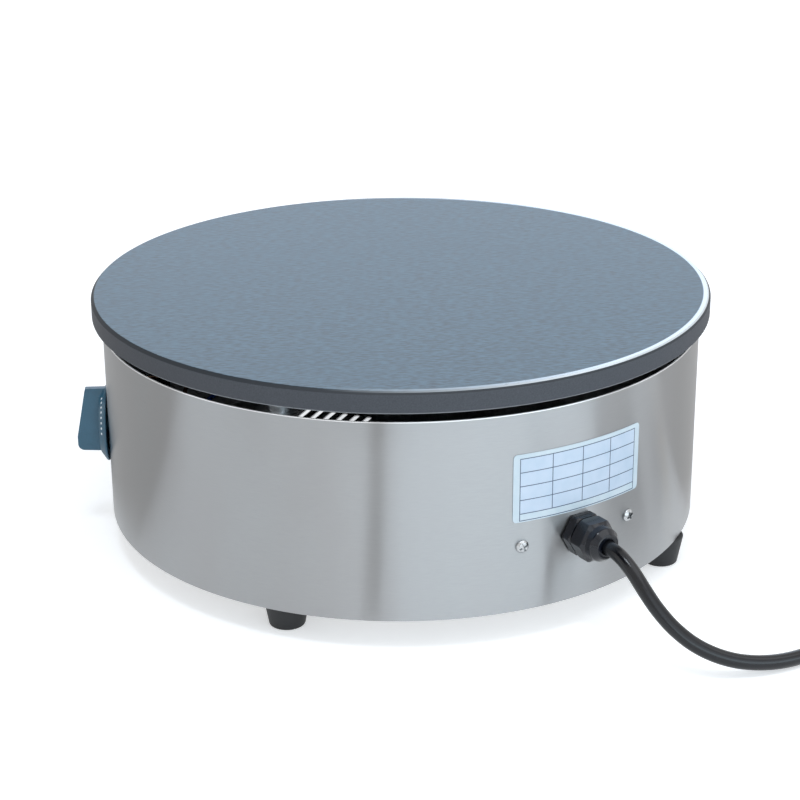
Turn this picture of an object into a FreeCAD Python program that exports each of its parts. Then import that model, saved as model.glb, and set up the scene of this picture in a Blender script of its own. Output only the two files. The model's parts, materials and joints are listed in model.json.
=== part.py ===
import FreeCAD, Part
import math
import os

# A countertop electric crepe maker. The drum's axis is Z and the worktop is z = 0.
# The temperature knob faces -Y. An azimuth of 0 degrees is -Y and 90 degrees is +X.
# Lengths are in millimetres.

V = FreeCAD.Vector
ORIGIN = V(0, 0, 0)
X_AXIS = V(1, 0, 0)
Z_AXIS = V(0, 0, 1)

# Cooking plate
plate_d = 400.0
plate_t = 13.6
plate_chamfer = 2.0
plate_under_chamfer = 1.0
plate_gap = 7.1  # open gap between the drum's rim and the plate

# Drum and base
drum_d = 387.5
drum_h = 126.6
drum_sheet = 1.0
rim_round = 0.4
base_sheet = 1.0
base_recess = 3.1  # from the drum's lower edge up to the base plate
base_fit = 0.3
vent_length = 50.0
vent_width = 4.0
vent_pitch = 9.5
vent_count = 6
vent_u = 75.0  # centre of each group of vents along their own line
vent_v = 91.25  # and across it
vent_az = 64.0

# Feet
foot_h = 22.6
foot_top_d = 28.9
foot_tip_d = 21.9
foot_edge = 1.5
foot_inset = 16.15  # of the circle that the four feet lie on, from the drum's outside
foot_az = 61.45
foot_shift = (-3.0, 6.6)  # of that circle's middle, from the drum's axis
foot_boss_d = 18.0  # inside the drum's lower edge
foot_rim_gap = 0.3  # from the feet's shoulders up to the drum's lower edge
foot_recess_d = 13.6
foot_recess_h = 13.0
foot_washer_d = 13.0
foot_washer_t = 1.6
tab_w = 28.0
tab_t = 1.5
tab_reach = 32.75  # inwards from the drum's wall
tab_h = 15.0

# Plate supports
support_az = 64.0
stud_inset = 13.75  # from the drum's outside
stud_d = 8.0
stud_depth = 9.0
stud_below = 10.0
ledge_drop = 2.0  # the ledges' top below the drum's rim
bracket_t = 2.0
bracket_w = 24.0
bracket_h = 24.0
bracket_reach = 24.75  # inwards from the drum's wall
spacer_d = 14.0

# Heater
sheath_d = 8.0
sheath_fit = 0.1
leg_room = 2.0  # round each bent leg where it passes the insulation
lead_room = 1.0
nut_room = 1.0
loop_edge = 14.0  # from the pan's outside to the outermost loop
loop_pitch = 30.0
loop_gaps = (34.0, 56.0)  # open angle of each element
leg_az = 330.0
leg_bend = 14.0
leg_drop = 22.0  # straight leg below the pan
pin_d = 4.0
pin_h = 12.0
bead_d = 9.0
bead_h = 4.0
link_w = 8.0
link_t = 1.0
link_drop = 6.5
clamp_t = 1.2
blanket_t = 6.0
pan_sheet = 0.8
pan_wall_gap = 41.75  # open space between the drum's outside and the pan
pan_fit = 0.5
clamp_stud_d = 6.0
clamp_stud_depth = 8.0
clamp_stud_inset = 59.0  # from the pan's outside
clamp_stud_azs = (60.0, 180.0, 300.0)
clamp_stud_below = 3.0

# Thermostat, its sensor and its knob
knob_az = 0.0
knob_height = 53.4  # above the drum's lower edge
knob_gap = 0.4
skirt_d = 50.4
skirt_rim = 1.2
skirt_face_d = 39.6
skirt_h = 5.0
grip_tail = 17.3
grip_nose = 24.8
grip_top = 20.6
grip_nose_top = 14.4
grip_w = 14.0
grip_nose_w = 4.4
grip_round = 1.2
grip_lean = 0.7
grip_heel = 5.8
grip_heel_drop = 3.2
grip_crest = 10.3
hub_d = 11.0
knob_hollow_d = 36.0
knob_hollow_h = 3.0
shaft_d = 6.0
shaft_flat = 1.6  # from the axis to the flat
shaft_in_knob = 11.5
shaft_in_body = 12.0
shaft_room = 2.0
leaf_t = 0.5
leaf_w = 3.6
leaf_inset = 1.0
fit = 0.05  # a running or threaded fit, per side
thermostat_w = 34.0
thermostat_h = 40.0
thermostat_depth = 30.0
thermostat_plate_t = 1.5
thermostat_screw_span = 28.0
thermostat_screw_in = 8.0
thermostat_side_lip = 1.0
thermostat_end_lip = 2.0
thermostat_round = 2.0
bulb_d = 6.0
bulb_length = 50.0
bulb_inset = 55.0  # from the pan's outside
capillary_d = 1.6
clip_w = 10.0
clip_t = 0.8
clip_screw_out = 4.6  # from the sensor's side to the screw
clip_ear = 4.2
clip_screw_in = 6.0

# Pilot lights
pilot_azs = (346.0, 338.0)
pilot_d = 9.8
pilot_bezel_d = 13.0
pilot_bezel_t = 1.5
pilot_lens_d = 9.0
pilot_lens_h = 3.5
pilot_depth = 22.0
pilot_nut_af = 13.0
pilot_nut_t = 3.0

# Cord gland, terminal bracket and label
gland_az = 120.0
gland_height = 43.5  # above the drum's lower edge
gland_af = 24.0
gland_thread_d = 20.4
gland_washer_step = 0.5  # inside the body's flats
gland_washer_t = 1.0
gland_hex_t = 6.5
gland_neck = 1.0
gland_nut_hex = 11.0
gland_dome_h = 8.0
gland_mouth_d = 14.6
gland_chamfer = 1.0
gland_neck_step = 0.8
gland_thread_up = 8.5  # the thread that the domed nut is screwed on
seal_t = 4.0
gland_lip = 4.0
cord_room = 0.7
mouth_room = 0.3
locknut_af = 27.0
locknut_t = 5.0
screw_height = 42.5  # above the drum's lower edge
screw_spread = 11.75  # degrees either side of the gland
holder_t = 1.5
holder_half_angle = 14.0
holder_above = 16.0
holder_below = 21.0
shelf_w = 64.0
shelf_reach = 34.75  # inwards from the drum's wall
block_w = 44.0
block_wall_gap = 8.75
block_depth = 20.0
block_h = 14.0
block_pitch = 14.0
wire_row = 0.3  # heights of the two rows of ports, as shares of the block
core_row = 0.62
block_round = 1.5
port_depth = 8.0
port_room = 0.3
clamp_screw_d = 4.4
clamp_screw_in = 4.5
clamp_screw_depth = 3.0
clamp_screw_sunk = 0.6
barrier_w = 1.6
barrier_depth = 2.5
label_az = 120.3
label_half_angle = 13.9
label_low = 58.0  # above the drum's lower edge
label_h = 43.0
label_t = 0.25
label_gap = 0.15  # the adhesive
label_corner = 2.5

# Mains cord
cord_d = 9.0
tail_past = 2.25  # the jacket ends this far past the terminal block
core_d = 2.8
core_spread = 2.9
coil_x = 150.0
coil_y = 306.0
coil_outer_r = 57.0  # centre line of the outermost turn
coil_pitch = 9.6
coil_turns = 4.25
tie_t = 0.8
tie_w = 10.0
tie_fit = 0.3
tie_round = 3.0
tie_at = 225.0  # degrees round the coil
cord_lead = 15.3  # straight out of the gland
coil_lead = 27.0  # straight into the coil
plug_lead = 22.0  # and straight out of it
# The free cord's route between those leads, chosen by hand
cord_route = [
    (217.7, 126.6, 58.3),
    (228.0, 135.2, 49.6),
    (235.7, 145.1, 38.2),
    (240.3, 157.2, 26.2),
    (241.5, 174.2, 15.6),
    (237.4, 193.4, 8.4),
    (228.6, 213.3, 5.0),
    (216.9, 233.6, 4.6),
    (209.6, 256.0, 4.8),
]
# The last stretch, from the coil to the plug
plug_route = [
    (114.2, 360.0, 14.0),
    (101.2, 354.6, 14.0),
]

# Plug
plug_boot_l = 28.0
plug_boot_tip_d = 13.0
plug_boot_root_d = 22.0
plug_l = 36.0
plug_w = 38.0
plug_t = 28.0
plug_round = 5.0
plug_pin_l = 21.0
plug_earth_l = 24.0
plug_pin_w = 8.0
plug_pin_t = 1.8
plug_pin_slant = 30.0
plug_pin_x = 8.0
plug_pin_y = 4.5
plug_earth_y = -7.0

# Fasteners: across flats, height, thread
m8_nut = (13.0, 6.5, 8.0)
m6_nut = (10.0, 5.0, 6.0)
m4_nut = (7.0, 3.2, 4.0)
pan_head_d = 8.0
pan_head_h = 2.8
m6_head_d = 12.0
m6_head_h = 4.0
m4_head_d = 7.0
m4_head_h = 2.2
nut_play = 1.5  # bare thread beyond a nut

# Wiring
wire_d = 2.8
lane_wall_gap = 19.75  # from the drum's wall to the live wire's lane
lane_step = 12.0  # and on to the neutral wire's
lane_height = 29.0  # above the drum's lower edge
earth_az = 128.0
earth_stud_gap = 14.0  # from the terminal block to the stud
earth_nut = (8.0, 4.0, 5.0)
earth_head_d = 9.0
earth_head_h = 2.5
earth_up = 12.0
earth_lug_up = 9.0

# Heights and radii that follow
drum_bottom = foot_h - base_recess
base_top = foot_h + base_sheet
drum_rim = drum_bottom + drum_h
plate_under = drum_rim + plate_gap
plate_top = plate_under + plate_t
drum_ro = drum_d / 2
drum_ri = drum_ro - drum_sheet
tab_top = base_top + tab_t
foot_shoulder = drum_bottom - foot_rim_gap
stud_circle = drum_d - 2 * stud_inset
tab_inner_r = drum_ri - tab_reach
bracket_inner_r = drum_ri - bracket_reach
pan_r = drum_ro - pan_wall_gap
loop_radii = [pan_r - loop_edge - k * loop_pitch for k in range(4)]
loop_rs = (loop_radii[:2], loop_radii[2:])  # the loops of the outer and the inner element
clamp_stud_r = pan_r - clamp_stud_inset
bulb_r = pan_r - bulb_inset
shelf_inner_r = drum_ri - shelf_reach
block_inner_r = drum_ri - block_wall_gap - block_depth
tail_end_r = block_inner_r - tail_past
live_lane_r = drum_ri - lane_wall_gap
neutral_lane_r = live_lane_r - lane_step
earth_r = block_inner_r - earth_stud_gap
ledge_top = drum_rim - ledge_drop
sheath_z = plate_under - sheath_fit - sheath_d / 2
clamp_top = sheath_z - sheath_d / 2 - sheath_fit
clamp_under = clamp_top - clamp_t
blanket_under = clamp_under - blanket_t
pan_under = blanket_under - pan_sheet
leg_end = pan_under - leg_drop
knob_z = drum_bottom + knob_height
gland_z = drum_bottom + gland_height
screw_z = drum_bottom + screw_height
lane_z = drum_bottom + lane_height
gland_reach = gland_washer_t + gland_hex_t + gland_neck + gland_nut_hex + gland_dome_h
gland_exit_r = drum_ro + gland_reach
shelf_top = gland_z - holder_below
coil_z = cord_d / 2 + tie_t + fit
support_azs = [support_az + 90 * k for k in range(4)]
knob_back_r = drum_ro + knob_gap
thermostat_front_r = math.sqrt(drum_ri**2 - (thermostat_w / 2) ** 2)


def polar(r, az, z=0.0):
    a = math.radians(az)
    return V(r * math.sin(a), -r * math.cos(a), z)


def along(r, x, az, z=0.0):
    """A point r out along an azimuth and x further round it."""
    a = math.radians(az)
    return V(r * math.sin(a) + x * math.cos(a), -r * math.cos(a) + x * math.sin(a), z)


def foot_place(corner):
    return polar(drum_ro - foot_inset, foot_az + 90 * corner) + V(*foot_shift)


def cylinder(r, z0, z1, x=0.0, y=0.0):
    return Part.makeCylinder(r, z1 - z0, V(x, y, z0))


def ring(r_out, r_in, z0, z1):
    return cylinder(r_out, z0, z1).cut(cylinder(r_in, z0 - 1, z1 + 1))


def box(x0, x1, y0, y1, z0, z1):
    return Part.makeBox(x1 - x0, y1 - y0, z1 - z0, V(x0, y0, z0))


def revolve(profile):
    """A solid of revolution about Z from (radius, height) corners."""
    points = [V(r, 0, z) for r, z in profile]
    face = Part.Face(Part.makePolygon(points + points[:1]))
    return face.revolve(ORIGIN, Z_AXIS, 360)


def prism(corners, z0, z1):
    points = [V(x, y, z0) for x, y in corners]
    face = Part.Face(Part.makePolygon(points + points[:1]))
    return face.extrude(V(0, 0, z1 - z0))


def hexagon(across_flats, z0, z1):
    r = across_flats / math.sqrt(3)
    corners = [(r * math.cos(math.radians(60 * k)), r * math.sin(math.radians(60 * k))) for k in range(6)]
    return prism(corners, z0, z1)


def hex_nut(size, z0, clearance=fit):
    """A nut standing on z0, chamfered top and bottom, for a thread on Z."""
    flats, height, thread = size
    blank = hexagon(flats, z0, z0 + height)
    r = flats / math.sqrt(3)
    dip = (r - flats / 2) * math.tan(math.radians(30))
    z1 = z0 + height
    dome = revolve([(0, z0), (flats / 2, z0), (r, z0 + dip), (r, z1 - dip), (flats / 2, z1), (0, z1)])
    return blank.common(dome).cut(cylinder(thread / 2 + clearance, z0 - 1, z0 + height + 1))


def turned(shape, az):
    out = shape.copy()
    out.rotate(ORIGIN, Z_AXIS, az)
    return out


def on_wall(shape, az, reach, height):
    """Local x runs round the drum, y is up and z points outwards."""
    out = shape.copy()
    out.rotate(ORIGIN, X_AXIS, 90)
    out.translate(V(0, -reach, height))
    out.rotate(ORIGIN, Z_AXIS, az)
    return out


def moved(shape, vector):
    out = shape.copy()
    out.translate(vector)
    return out


def slot_cutter(length, width, z0, z1):
    r = width / 2
    half = length / 2 - r
    core = box(-half, half, -r, r, z0, z1)
    return core.fuse([cylinder(r, z0, z1, -half), cylinder(r, z0, z1, half)])


def arc_from(start, tangent, end):
    """The arc that leaves start along tangent and reaches end."""
    chord = end - start
    u = chord * (1 / chord.Length)
    side = tangent - u * tangent.dot(u)
    if side.Length < 1e-7:
        return Part.LineSegment(start, end).toShape()
    half = math.acos(max(-1, min(1, tangent.dot(u))))
    middle = start + chord * 0.5 + side * (chord.Length / 2 * math.tan(half / 2) / side.Length)
    return Part.Arc(start, middle, end).toShape()


def smooth_path(points, share=0.45):
    """Straight runs joined by tangent arcs as large as the runs allow; also gives the radii."""
    edges = []
    radii = []
    at = points[0]
    for before, corner, after in zip(points, points[1:], points[2:]):
        inward = (corner - before).normalize()
        outward = (after - corner).normalize()
        turn = math.acos(max(-1, min(1, inward.dot(outward))))
        reach = share * min((corner - before).Length, (after - corner).Length)
        radii.append(reach / math.tan(turn / 2))
        start = corner - inward * reach
        end = corner + outward * reach
        edges.append(Part.LineSegment(at, start).toShape())
        edges.append(arc_from(start, inward, end))
        at = end
    edges.append(Part.LineSegment(at, points[-1]).toShape())
    return Part.Wire(edges), radii


def sweep(wire, d):
    """A round tube's solid along a wire."""
    start = wire.Edges[0].firstVertex().Point
    tangent = wire.Edges[0].tangentAt(wire.Edges[0].FirstParameter)
    section = Part.Wire(Part.makeCircle(d / 2, start, tangent))
    return wire.makePipeShell([section], True, False)


def tube(points, d, name=None):
    wire, radii = smooth_path(points)
    solid = sweep(wire, d)
    if name:
        expected = math.pi * d**2 / 4 * wire.Length
        print(name, "length", round(wire.Length, 1), "radii", [round(r, 1) for r in radii])
        print(name, "volume over section times length", round(solid.Volume / expected, 5))
    return solid


def bolt_circle(shape, r, azimuths):
    return [moved(shape, polar(r, az)) for az in azimuths]


def group(solids):
    return Part.makeCompound(solids)


# Plate and its supports


def griddle_plate():
    r = plate_d / 2
    body = revolve([
        (0, plate_under),
        (r - plate_under_chamfer, plate_under),
        (r, plate_under + plate_under_chamfer),
        (r, plate_top - plate_chamfer),
        (r - plate_chamfer, plate_top),
        (0, plate_top),
    ])
    stud_hole = cylinder(stud_d / 2 + fit, plate_under - 1, plate_under + stud_depth + fit)
    clamp_hole = cylinder(clamp_stud_d / 2 + fit, plate_under - 1, plate_under + clamp_stud_depth + fit)
    clip_hole = cylinder(m4_nut[2] / 2 + fit, plate_under - 1, plate_under + clamp_stud_depth)
    holes = bolt_circle(stud_hole, stud_circle / 2, support_azs)
    holes += bolt_circle(clamp_hole, clamp_stud_r, clamp_stud_azs)
    holes += [clamp_hole, moved(clip_hole, clip_screw_at())]
    return body.cut(holes)


def plate_studs():
    stud = cylinder(stud_d / 2, ledge_top - bracket_t - stud_below, plate_under + stud_depth)
    return group(bolt_circle(stud, stud_circle / 2, support_azs))


def plate_spacers():
    sleeve = ring(spacer_d / 2, stud_d / 2 + fit, ledge_top, plate_under)
    return group(bolt_circle(sleeve, stud_circle / 2, support_azs))


def stud_nuts():
    nut = hex_nut(m8_nut, ledge_top - bracket_t - m8_nut[1])
    return group(bolt_circle(nut, stud_circle / 2, support_azs))


def wall_angle(width, height, thickness, inner_r, z_shelf, up):
    """An angle welded to the drum's inside at azimuth 0: a shelf and a flange that follows the wall."""
    shelf = box(-width / 2, width / 2, -drum_ro, -inner_r, z_shelf, z_shelf + thickness)
    z0 = z_shelf if up else z_shelf + thickness - height
    strip = box(-width / 2, width / 2, -drum_ro, -inner_r, z0, z0 + height)
    flange = strip.common(ring(drum_ri, drum_ri - thickness, z0, z0 + height))
    shelf = shelf.common(cylinder(drum_ri, z_shelf, z_shelf + thickness))
    return shelf.fuse(flange).removeSplitter()


def support_brackets():
    bracket = wall_angle(bracket_w, bracket_h, bracket_t, bracket_inner_r, ledge_top - bracket_t, False)
    hole = cylinder(stud_d / 2 + 2 * fit, ledge_top - bracket_t - 1, ledge_top + 1, 0, -stud_circle / 2)
    bracket = bracket.cut(hole)
    return group([turned(bracket, az) for az in support_azs])


# Heater


def element_path(outer_r, inner_r, gap):
    """Out of one leg, round the outer loop, back along the inner loop and down the other leg."""
    sweep_deg = 360 - gap
    last = leg_az + sweep_deg
    u_r = (outer_r - inner_r) / 2

    def loop(r, az0, az1):
        middle = (az0 + az1) / 2
        halves = []
        for a, b in ((az0, middle), (middle, az1)):
            points = [polar(r, az, sheath_z) for az in (a, (a + b) / 2, b)]
            halves.append(Part.Arc(*points).toShape())
        return halves

    def leg(r):
        foot = along(r, -leg_bend, leg_az, leg_end)
        bend = along(r, -leg_bend, leg_az, sheath_z - leg_bend)
        top = polar(r, leg_az, sheath_z)
        return foot, bend, arc_from(bend, Z_AXIS, top), top

    foot_a, bend_a, arc_a, top_a = leg(outer_r)
    foot_b, bend_b, arc_b, top_b = leg(inner_r)
    turn_mid = along((outer_r + inner_r) / 2, u_r, last, sheath_z)
    u_turn = Part.Arc(polar(outer_r, last, sheath_z), turn_mid, polar(inner_r, last, sheath_z)).toShape()
    edges = [Part.LineSegment(foot_a, bend_a).toShape(), arc_a]
    edges += loop(outer_r, leg_az, last)
    edges += [u_turn]
    edges += loop(inner_r, last, leg_az)
    edges += [arc_b, Part.LineSegment(bend_b, foot_b).toShape()]
    return Part.Wire(Part.__sortEdges__(edges))


def heating_element(index):
    outer_r, inner_r = loop_rs[index]
    wire = element_path(outer_r, inner_r, loop_gaps[index])
    print("heating element", index, "length", round(wire.Length, 1))
    return sweep(wire, sheath_d)


def leg_feet():
    return [along(r, -leg_bend, leg_az) for pair in loop_rs for r in pair]


def element_terminals():
    bead = cylinder(bead_d / 2, leg_end - bead_h, leg_end)
    pin = cylinder(pin_d / 2, leg_end - pin_h, leg_end - bead_h)
    return group([moved(bead.fuse(pin).removeSplitter(), foot) for foot in leg_feet()])


def element_link():
    """A strap that joins the outer element to the inner one."""
    z1 = leg_end - bead_h
    a, b = leg_feet()[1:3]
    middle = (a + b) * 0.5
    length = (b - a).Length + link_w
    strap = slot_cutter(length, link_w, z1 - link_t, z1)
    angle = math.degrees(math.atan2(b.y - a.y, b.x - a.x))
    strap = moved(turned(strap, angle), middle)
    holes = [cylinder(pin_d / 2 + fit, z1 - link_t - 1, z1 + 1, p.x, p.y) for p in (a, b)]
    return strap.cut(holes)


def leg_windows(z0, z1):
    """Room for the four bent legs."""
    r = sheath_d / 2 + leg_room
    window = slot_cutter(leg_bend + 2 * r, 2 * r, z0, z1)
    shifts = [along(ring_r, -leg_bend / 2, leg_az) for pair in loop_rs for ring_r in pair]
    return [moved(turned(window, leg_az), p) for p in shifts]


def heater_bolts(shape):
    return [shape] + bolt_circle(shape, clamp_stud_r, clamp_stud_azs)


def capillary_hole(z0, z1):
    p = capillary_drop()
    return cylinder(capillary_d / 2 + lead_room, z0, z1, p.x, p.y)


def clamp_disc():
    r = pan_r - pan_sheet - pan_fit
    disc = cylinder(r, clamp_under, clamp_top)
    cuts = heater_bolts(cylinder(clamp_stud_d / 2 + 2 * fit, clamp_under - 1, clamp_top + 1))
    cuts += leg_windows(clamp_under - 1, clamp_top + 1)
    return disc.cut(cuts + [capillary_hole(clamp_under - 1, clamp_top + 1)])


def insulation_blanket():
    r = pan_r - pan_sheet - pan_fit
    disc = cylinder(r, blanket_under, clamp_under)
    nut_r = m6_nut[0] / math.sqrt(3) + nut_room
    cuts = heater_bolts(cylinder(nut_r, blanket_under - 1, clamp_under + 1))
    cuts += leg_windows(blanket_under - 1, clamp_under + 1)
    return disc.cut(cuts + [capillary_hole(blanket_under - 1, clamp_under + 1)])


def heat_shield_pan():
    low = pan_under - 1
    high = blanket_under + 1
    bowl = cylinder(pan_r, pan_under, plate_under - pan_fit)
    bowl = bowl.cut(cylinder(pan_r - pan_sheet, blanket_under, plate_under))
    cuts = heater_bolts(cylinder(clamp_stud_d / 2 + 2 * fit, low, high))
    cuts += [cylinder(sheath_d / 2 + lead_room, low, high, p.x, p.y) for p in leg_feet()]
    return bowl.cut(cuts + [capillary_hole(low, high)])


def clamp_studs():
    low = pan_under - m6_nut[1] - clamp_stud_below
    return group(heater_bolts(cylinder(clamp_stud_d / 2, low, plate_under + clamp_stud_depth)))


def clamp_nuts():
    return group(heater_bolts(hex_nut(m6_nut, clamp_under - m6_nut[1])))


def pan_nuts():
    return group(heater_bolts(hex_nut(m6_nut, pan_under - m6_nut[1])))


# Drum, base and feet


def drum_holes():
    through = drum_ro / 4
    shaft = cylinder(shaft_d / 2 + shaft_room, -through, 5)
    small = cylinder(m4_nut[2] / 2 + 3 * fit, -through, 5)
    pilot = cylinder(pilot_d / 2 + 2 * fit, -through, 5)
    gland = cylinder(gland_thread_d / 2 + 2 * fit, -through, 5)
    holes = [on_wall(shaft, knob_az, drum_ro, knob_z), on_wall(gland, gland_az, drum_ro, gland_z)]
    for side in (-1, 1):
        holes.append(on_wall(small, knob_az, drum_ro, knob_z + side * thermostat_screw_span / 2))
        holes.append(on_wall(small, gland_az + side * screw_spread, drum_ro, screw_z))
    holes += [on_wall(pilot, az, drum_ro, knob_z) for az in pilot_azs]
    return holes


def drum_shell():
    shell = ring(drum_ro, drum_ri, drum_bottom, drum_rim)
    rims = [e for e in shell.Edges if abs(e.BoundBox.ZMin - drum_rim) < 1e-6 and e.BoundBox.ZLength < 1e-6]
    return shell.makeFillet(rim_round, rims).cut(drum_holes())


def base_plate():
    disc = cylinder(drum_ri - base_fit, foot_h, base_top)
    vent = slot_cutter(vent_length, vent_width, foot_h - 1, base_top + 1)
    cuts = []
    for u in (-vent_u, vent_u):
        for v_side in (-1, 1):
            for k in range(vent_count):
                v = v_side * (vent_v + (k - (vent_count - 1) / 2) * vent_pitch)
                cuts.append(moved(vent, V(u, v, 0)))
    cuts = [turned(c, vent_az - 90) for c in cuts]
    screw = cylinder(m6_nut[2] / 2 + 3 * fit, foot_h - 1, base_top + 1)
    cuts += at_feet(screw)
    cuts.append(moved(cylinder(earth_nut[2] / 2 + fit, foot_h - 1, base_top + 1), polar(earth_r, earth_az)))
    return disc.cut(cuts)


def at_feet(shape):
    return [moved(shape, foot_place(corner)) for corner in range(4)]


def foot_tabs():
    tabs = []
    for corner in range(4):
        place = foot_place(corner)
        tab = wall_angle(tab_w, tab_h, tab_t, tab_inner_r, base_top, True)
        hole = cylinder(m6_nut[2] / 2 + 3 * fit, base_top - 1, tab_top + 1, 0, -place.Length)
        az = math.degrees(math.atan2(place.x, -place.y))
        tabs.append(turned(tab.cut(hole), az))
    return group(tabs)


def rubber_foot(corner):
    tip = foot_tip_d / 2
    top = foot_top_d / 2
    slope = (top - tip) / foot_shoulder
    body = revolve([
        (0, 0),
        (tip - foot_edge, 0),
        (tip + slope * foot_edge, foot_edge),
        (top, foot_shoulder - foot_edge / 2),
        (top - foot_edge / 2, foot_shoulder),
        (foot_boss_d / 2, foot_shoulder),
        (foot_boss_d / 2, foot_h),
        (0, foot_h),
    ])
    recess = cylinder(foot_recess_d / 2, -1, foot_recess_h)
    bore = cylinder(m6_nut[2] / 2 + 3 * fit, 0, foot_h + 1)
    return moved(body.cut([recess, bore]), foot_place(corner))


def foot_washers():
    washer = ring(foot_washer_d / 2, m6_nut[2] / 2 + fit, foot_recess_h - foot_washer_t, foot_recess_h)
    return group(at_feet(washer))


def cross_recess(head_d, top, depth):
    arm = head_d * 0.28
    thin = head_d * 0.06
    bars = box(-arm, arm, -thin, thin, top - depth, top + 1)
    return bars.fuse(box(-thin, thin, -arm, arm, top - depth, top + 1))


def pan_screw(head_d, head_h, thread_d, length):
    """A cross-recess pan head screw: the head stands on z = 0 and the thread runs down."""
    r = head_d / 2
    head = revolve([
        (0, 0), (r, 0), (r, head_h * 0.45), (r * 0.86, head_h * 0.8), (r * 0.55, head_h), (0, head_h),
    ])
    body = head.fuse(cylinder(thread_d / 2, -length, 0)).removeSplitter()
    return body.cut(cross_recess(head_d, head_h, head_h * 0.55))


def foot_screws():
    head_z = foot_recess_h - foot_washer_t
    length = tab_top - head_z + m6_nut[1] + nut_play
    screw = pan_screw(m6_head_d, m6_head_h, m6_nut[2], length)
    screw.rotate(ORIGIN, X_AXIS, 180)
    return group(at_feet(moved(screw, V(0, 0, head_z))))


def foot_nuts():
    return group(at_feet(hex_nut(m6_nut, tab_top)))


# Thermostat and its sensor


def thermostat_body():
    back = thermostat_front_r - thermostat_plate_t
    half_w = thermostat_w / 2
    half_h = thermostat_h / 2
    x = half_w - thermostat_side_lip
    y = half_h - thermostat_end_lip
    block = box(-x, x, -y, y, -thermostat_depth, 0)
    corners = [e for e in block.Edges if e.BoundBox.ZLength > thermostat_depth / 2]
    block = block.makeFillet(thermostat_round, corners)
    bore = cylinder(shaft_d / 2 + fit, -shaft_in_body - 0.5, 1)
    screw = cylinder(m4_nut[2] / 2 + fit, -thermostat_screw_in - 1, 1)
    cuts = [bore]
    for side in (-1, 1):
        cuts.append(moved(screw, V(0, side * thermostat_screw_span / 2, 0)))
    return on_wall(block.cut(cuts), knob_az, back, knob_z)


def thermostat_plate():
    half_w = thermostat_w / 2
    half_h = thermostat_h / 2
    sheet = box(-half_w, half_w, -half_h, half_h, -thermostat_plate_t, 0)
    cuts = [cylinder(shaft_d / 2 + 1, -3, 1)]
    for side in (-1, 1):
        hole = cylinder(m4_nut[2] / 2 + fit, -3, 1)
        cuts.append(moved(hole, V(0, side * thermostat_screw_span / 2, 0)))
    return on_wall(sheet.cut(cuts), knob_az, thermostat_front_r, knob_z)


def thermostat_screws():
    length = drum_ro - thermostat_front_r + thermostat_plate_t + thermostat_screw_in
    screw = pan_screw(m4_head_d, m4_head_h, m4_nut[2], length)
    places = []
    for side in (-1, 1):
        places.append(on_wall(screw, knob_az, drum_ro, knob_z + side * thermostat_screw_span / 2))
    return group(places)


def d_section(r, flat, z0, z1):
    return cylinder(r, z0, z1).cut(box(-r - 1, r + 1, flat, r + 1, z0 - 1, z1 + 1))


def shaft_inner():
    return thermostat_front_r - thermostat_plate_t - shaft_in_body - knob_back_r


def thermostat_shaft():
    round_part = cylinder(shaft_d / 2, shaft_inner(), 0)
    flat_part = d_section(shaft_d / 2, shaft_flat, 0, shaft_in_knob)
    return on_wall(round_part.fuse(flat_part).removeSplitter(), knob_az, knob_back_r, knob_z)


def temperature_knob():
    r = skirt_d / 2
    skirt = revolve([(0, 0), (r, 0), (r, skirt_rim), (skirt_face_d / 2, skirt_h), (0, skirt_h)])
    # The grip's side outline, as (along the grip, out from the drum)
    side = [
        (-grip_tail, skirt_rim),
        (-grip_tail, skirt_h),
        (-grip_tail + grip_lean, grip_top - grip_heel_drop),
        (-grip_tail + grip_heel, grip_top),
        (-grip_tail + grip_crest, grip_top),
        (grip_nose, grip_nose_top),
        (grip_nose, skirt_rim),
    ]
    points = [V(-grip_w, y, z) for y, z in side]
    bar = Part.Face(Part.makePolygon(points + points[:1])).extrude(V(2 * grip_w, 0, 0))
    w = grip_w / 2
    n = grip_nose_w / 2
    tail = -grip_tail - 1
    nose = grip_nose + 1
    plan = prism([(-w, tail), (w, tail), (w, 0), (n, nose), (-n, nose), (-w, 0)], 0, grip_top + 1)
    bar = bar.common(plan)
    edges = [e for e in bar.Edges if e.BoundBox.ZMax > skirt_h + 1]
    bar = bar.makeFillet(grip_round, edges)
    body = skirt.fuse(bar).removeSplitter()
    hollow = ring(knob_hollow_d / 2, hub_d / 2, -1, knob_hollow_h)
    bore = d_section(shaft_d / 2 + fit, shaft_flat + 2 * fit + leaf_t, -1, shaft_in_knob + fit)
    return on_wall(body.cut([hollow, bore]), knob_az, knob_back_r, knob_z)


def knob_spring_clip():
    y0 = shaft_flat + fit
    leaf = box(-leaf_w / 2, leaf_w / 2, y0, y0 + leaf_t, leaf_inset, shaft_in_knob - leaf_inset)
    return on_wall(leaf, knob_az, knob_back_r, knob_z)


def bulb_z():
    return plate_under - sheath_fit - bulb_d / 2


def capillary_drop():
    return V(bulb_length / 2 + 7, -bulb_r, 0)


def clip_screw_at():
    return V(0, -bulb_r + bulb_d / 2 + clip_screw_out, 0)


def capillary_bulb():
    z = bulb_z()
    y = -bulb_r
    half = bulb_length / 2
    rod = Part.makeCylinder(bulb_d / 2, bulb_length, V(-half, y, z), X_AXIS)
    drop = capillary_drop()
    top = knob_z + thermostat_h / 2 - 2
    back_y = -(thermostat_front_r - thermostat_plate_t - thermostat_depth / 2)
    points = [
        V(half, y, z),
        V(drop.x, y, z),
        V(drop.x, y, pan_under - 16),
        V(drop.x, y - 24, pan_under - 22),
        V(drop.x - 14, back_y + 8, top + 20),
        V(8, back_y, top + 14),
        V(8, back_y, top + fit),
    ]
    line = tube(points, capillary_d, "capillary")
    return rod.fuse(line).removeSplitter()


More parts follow.
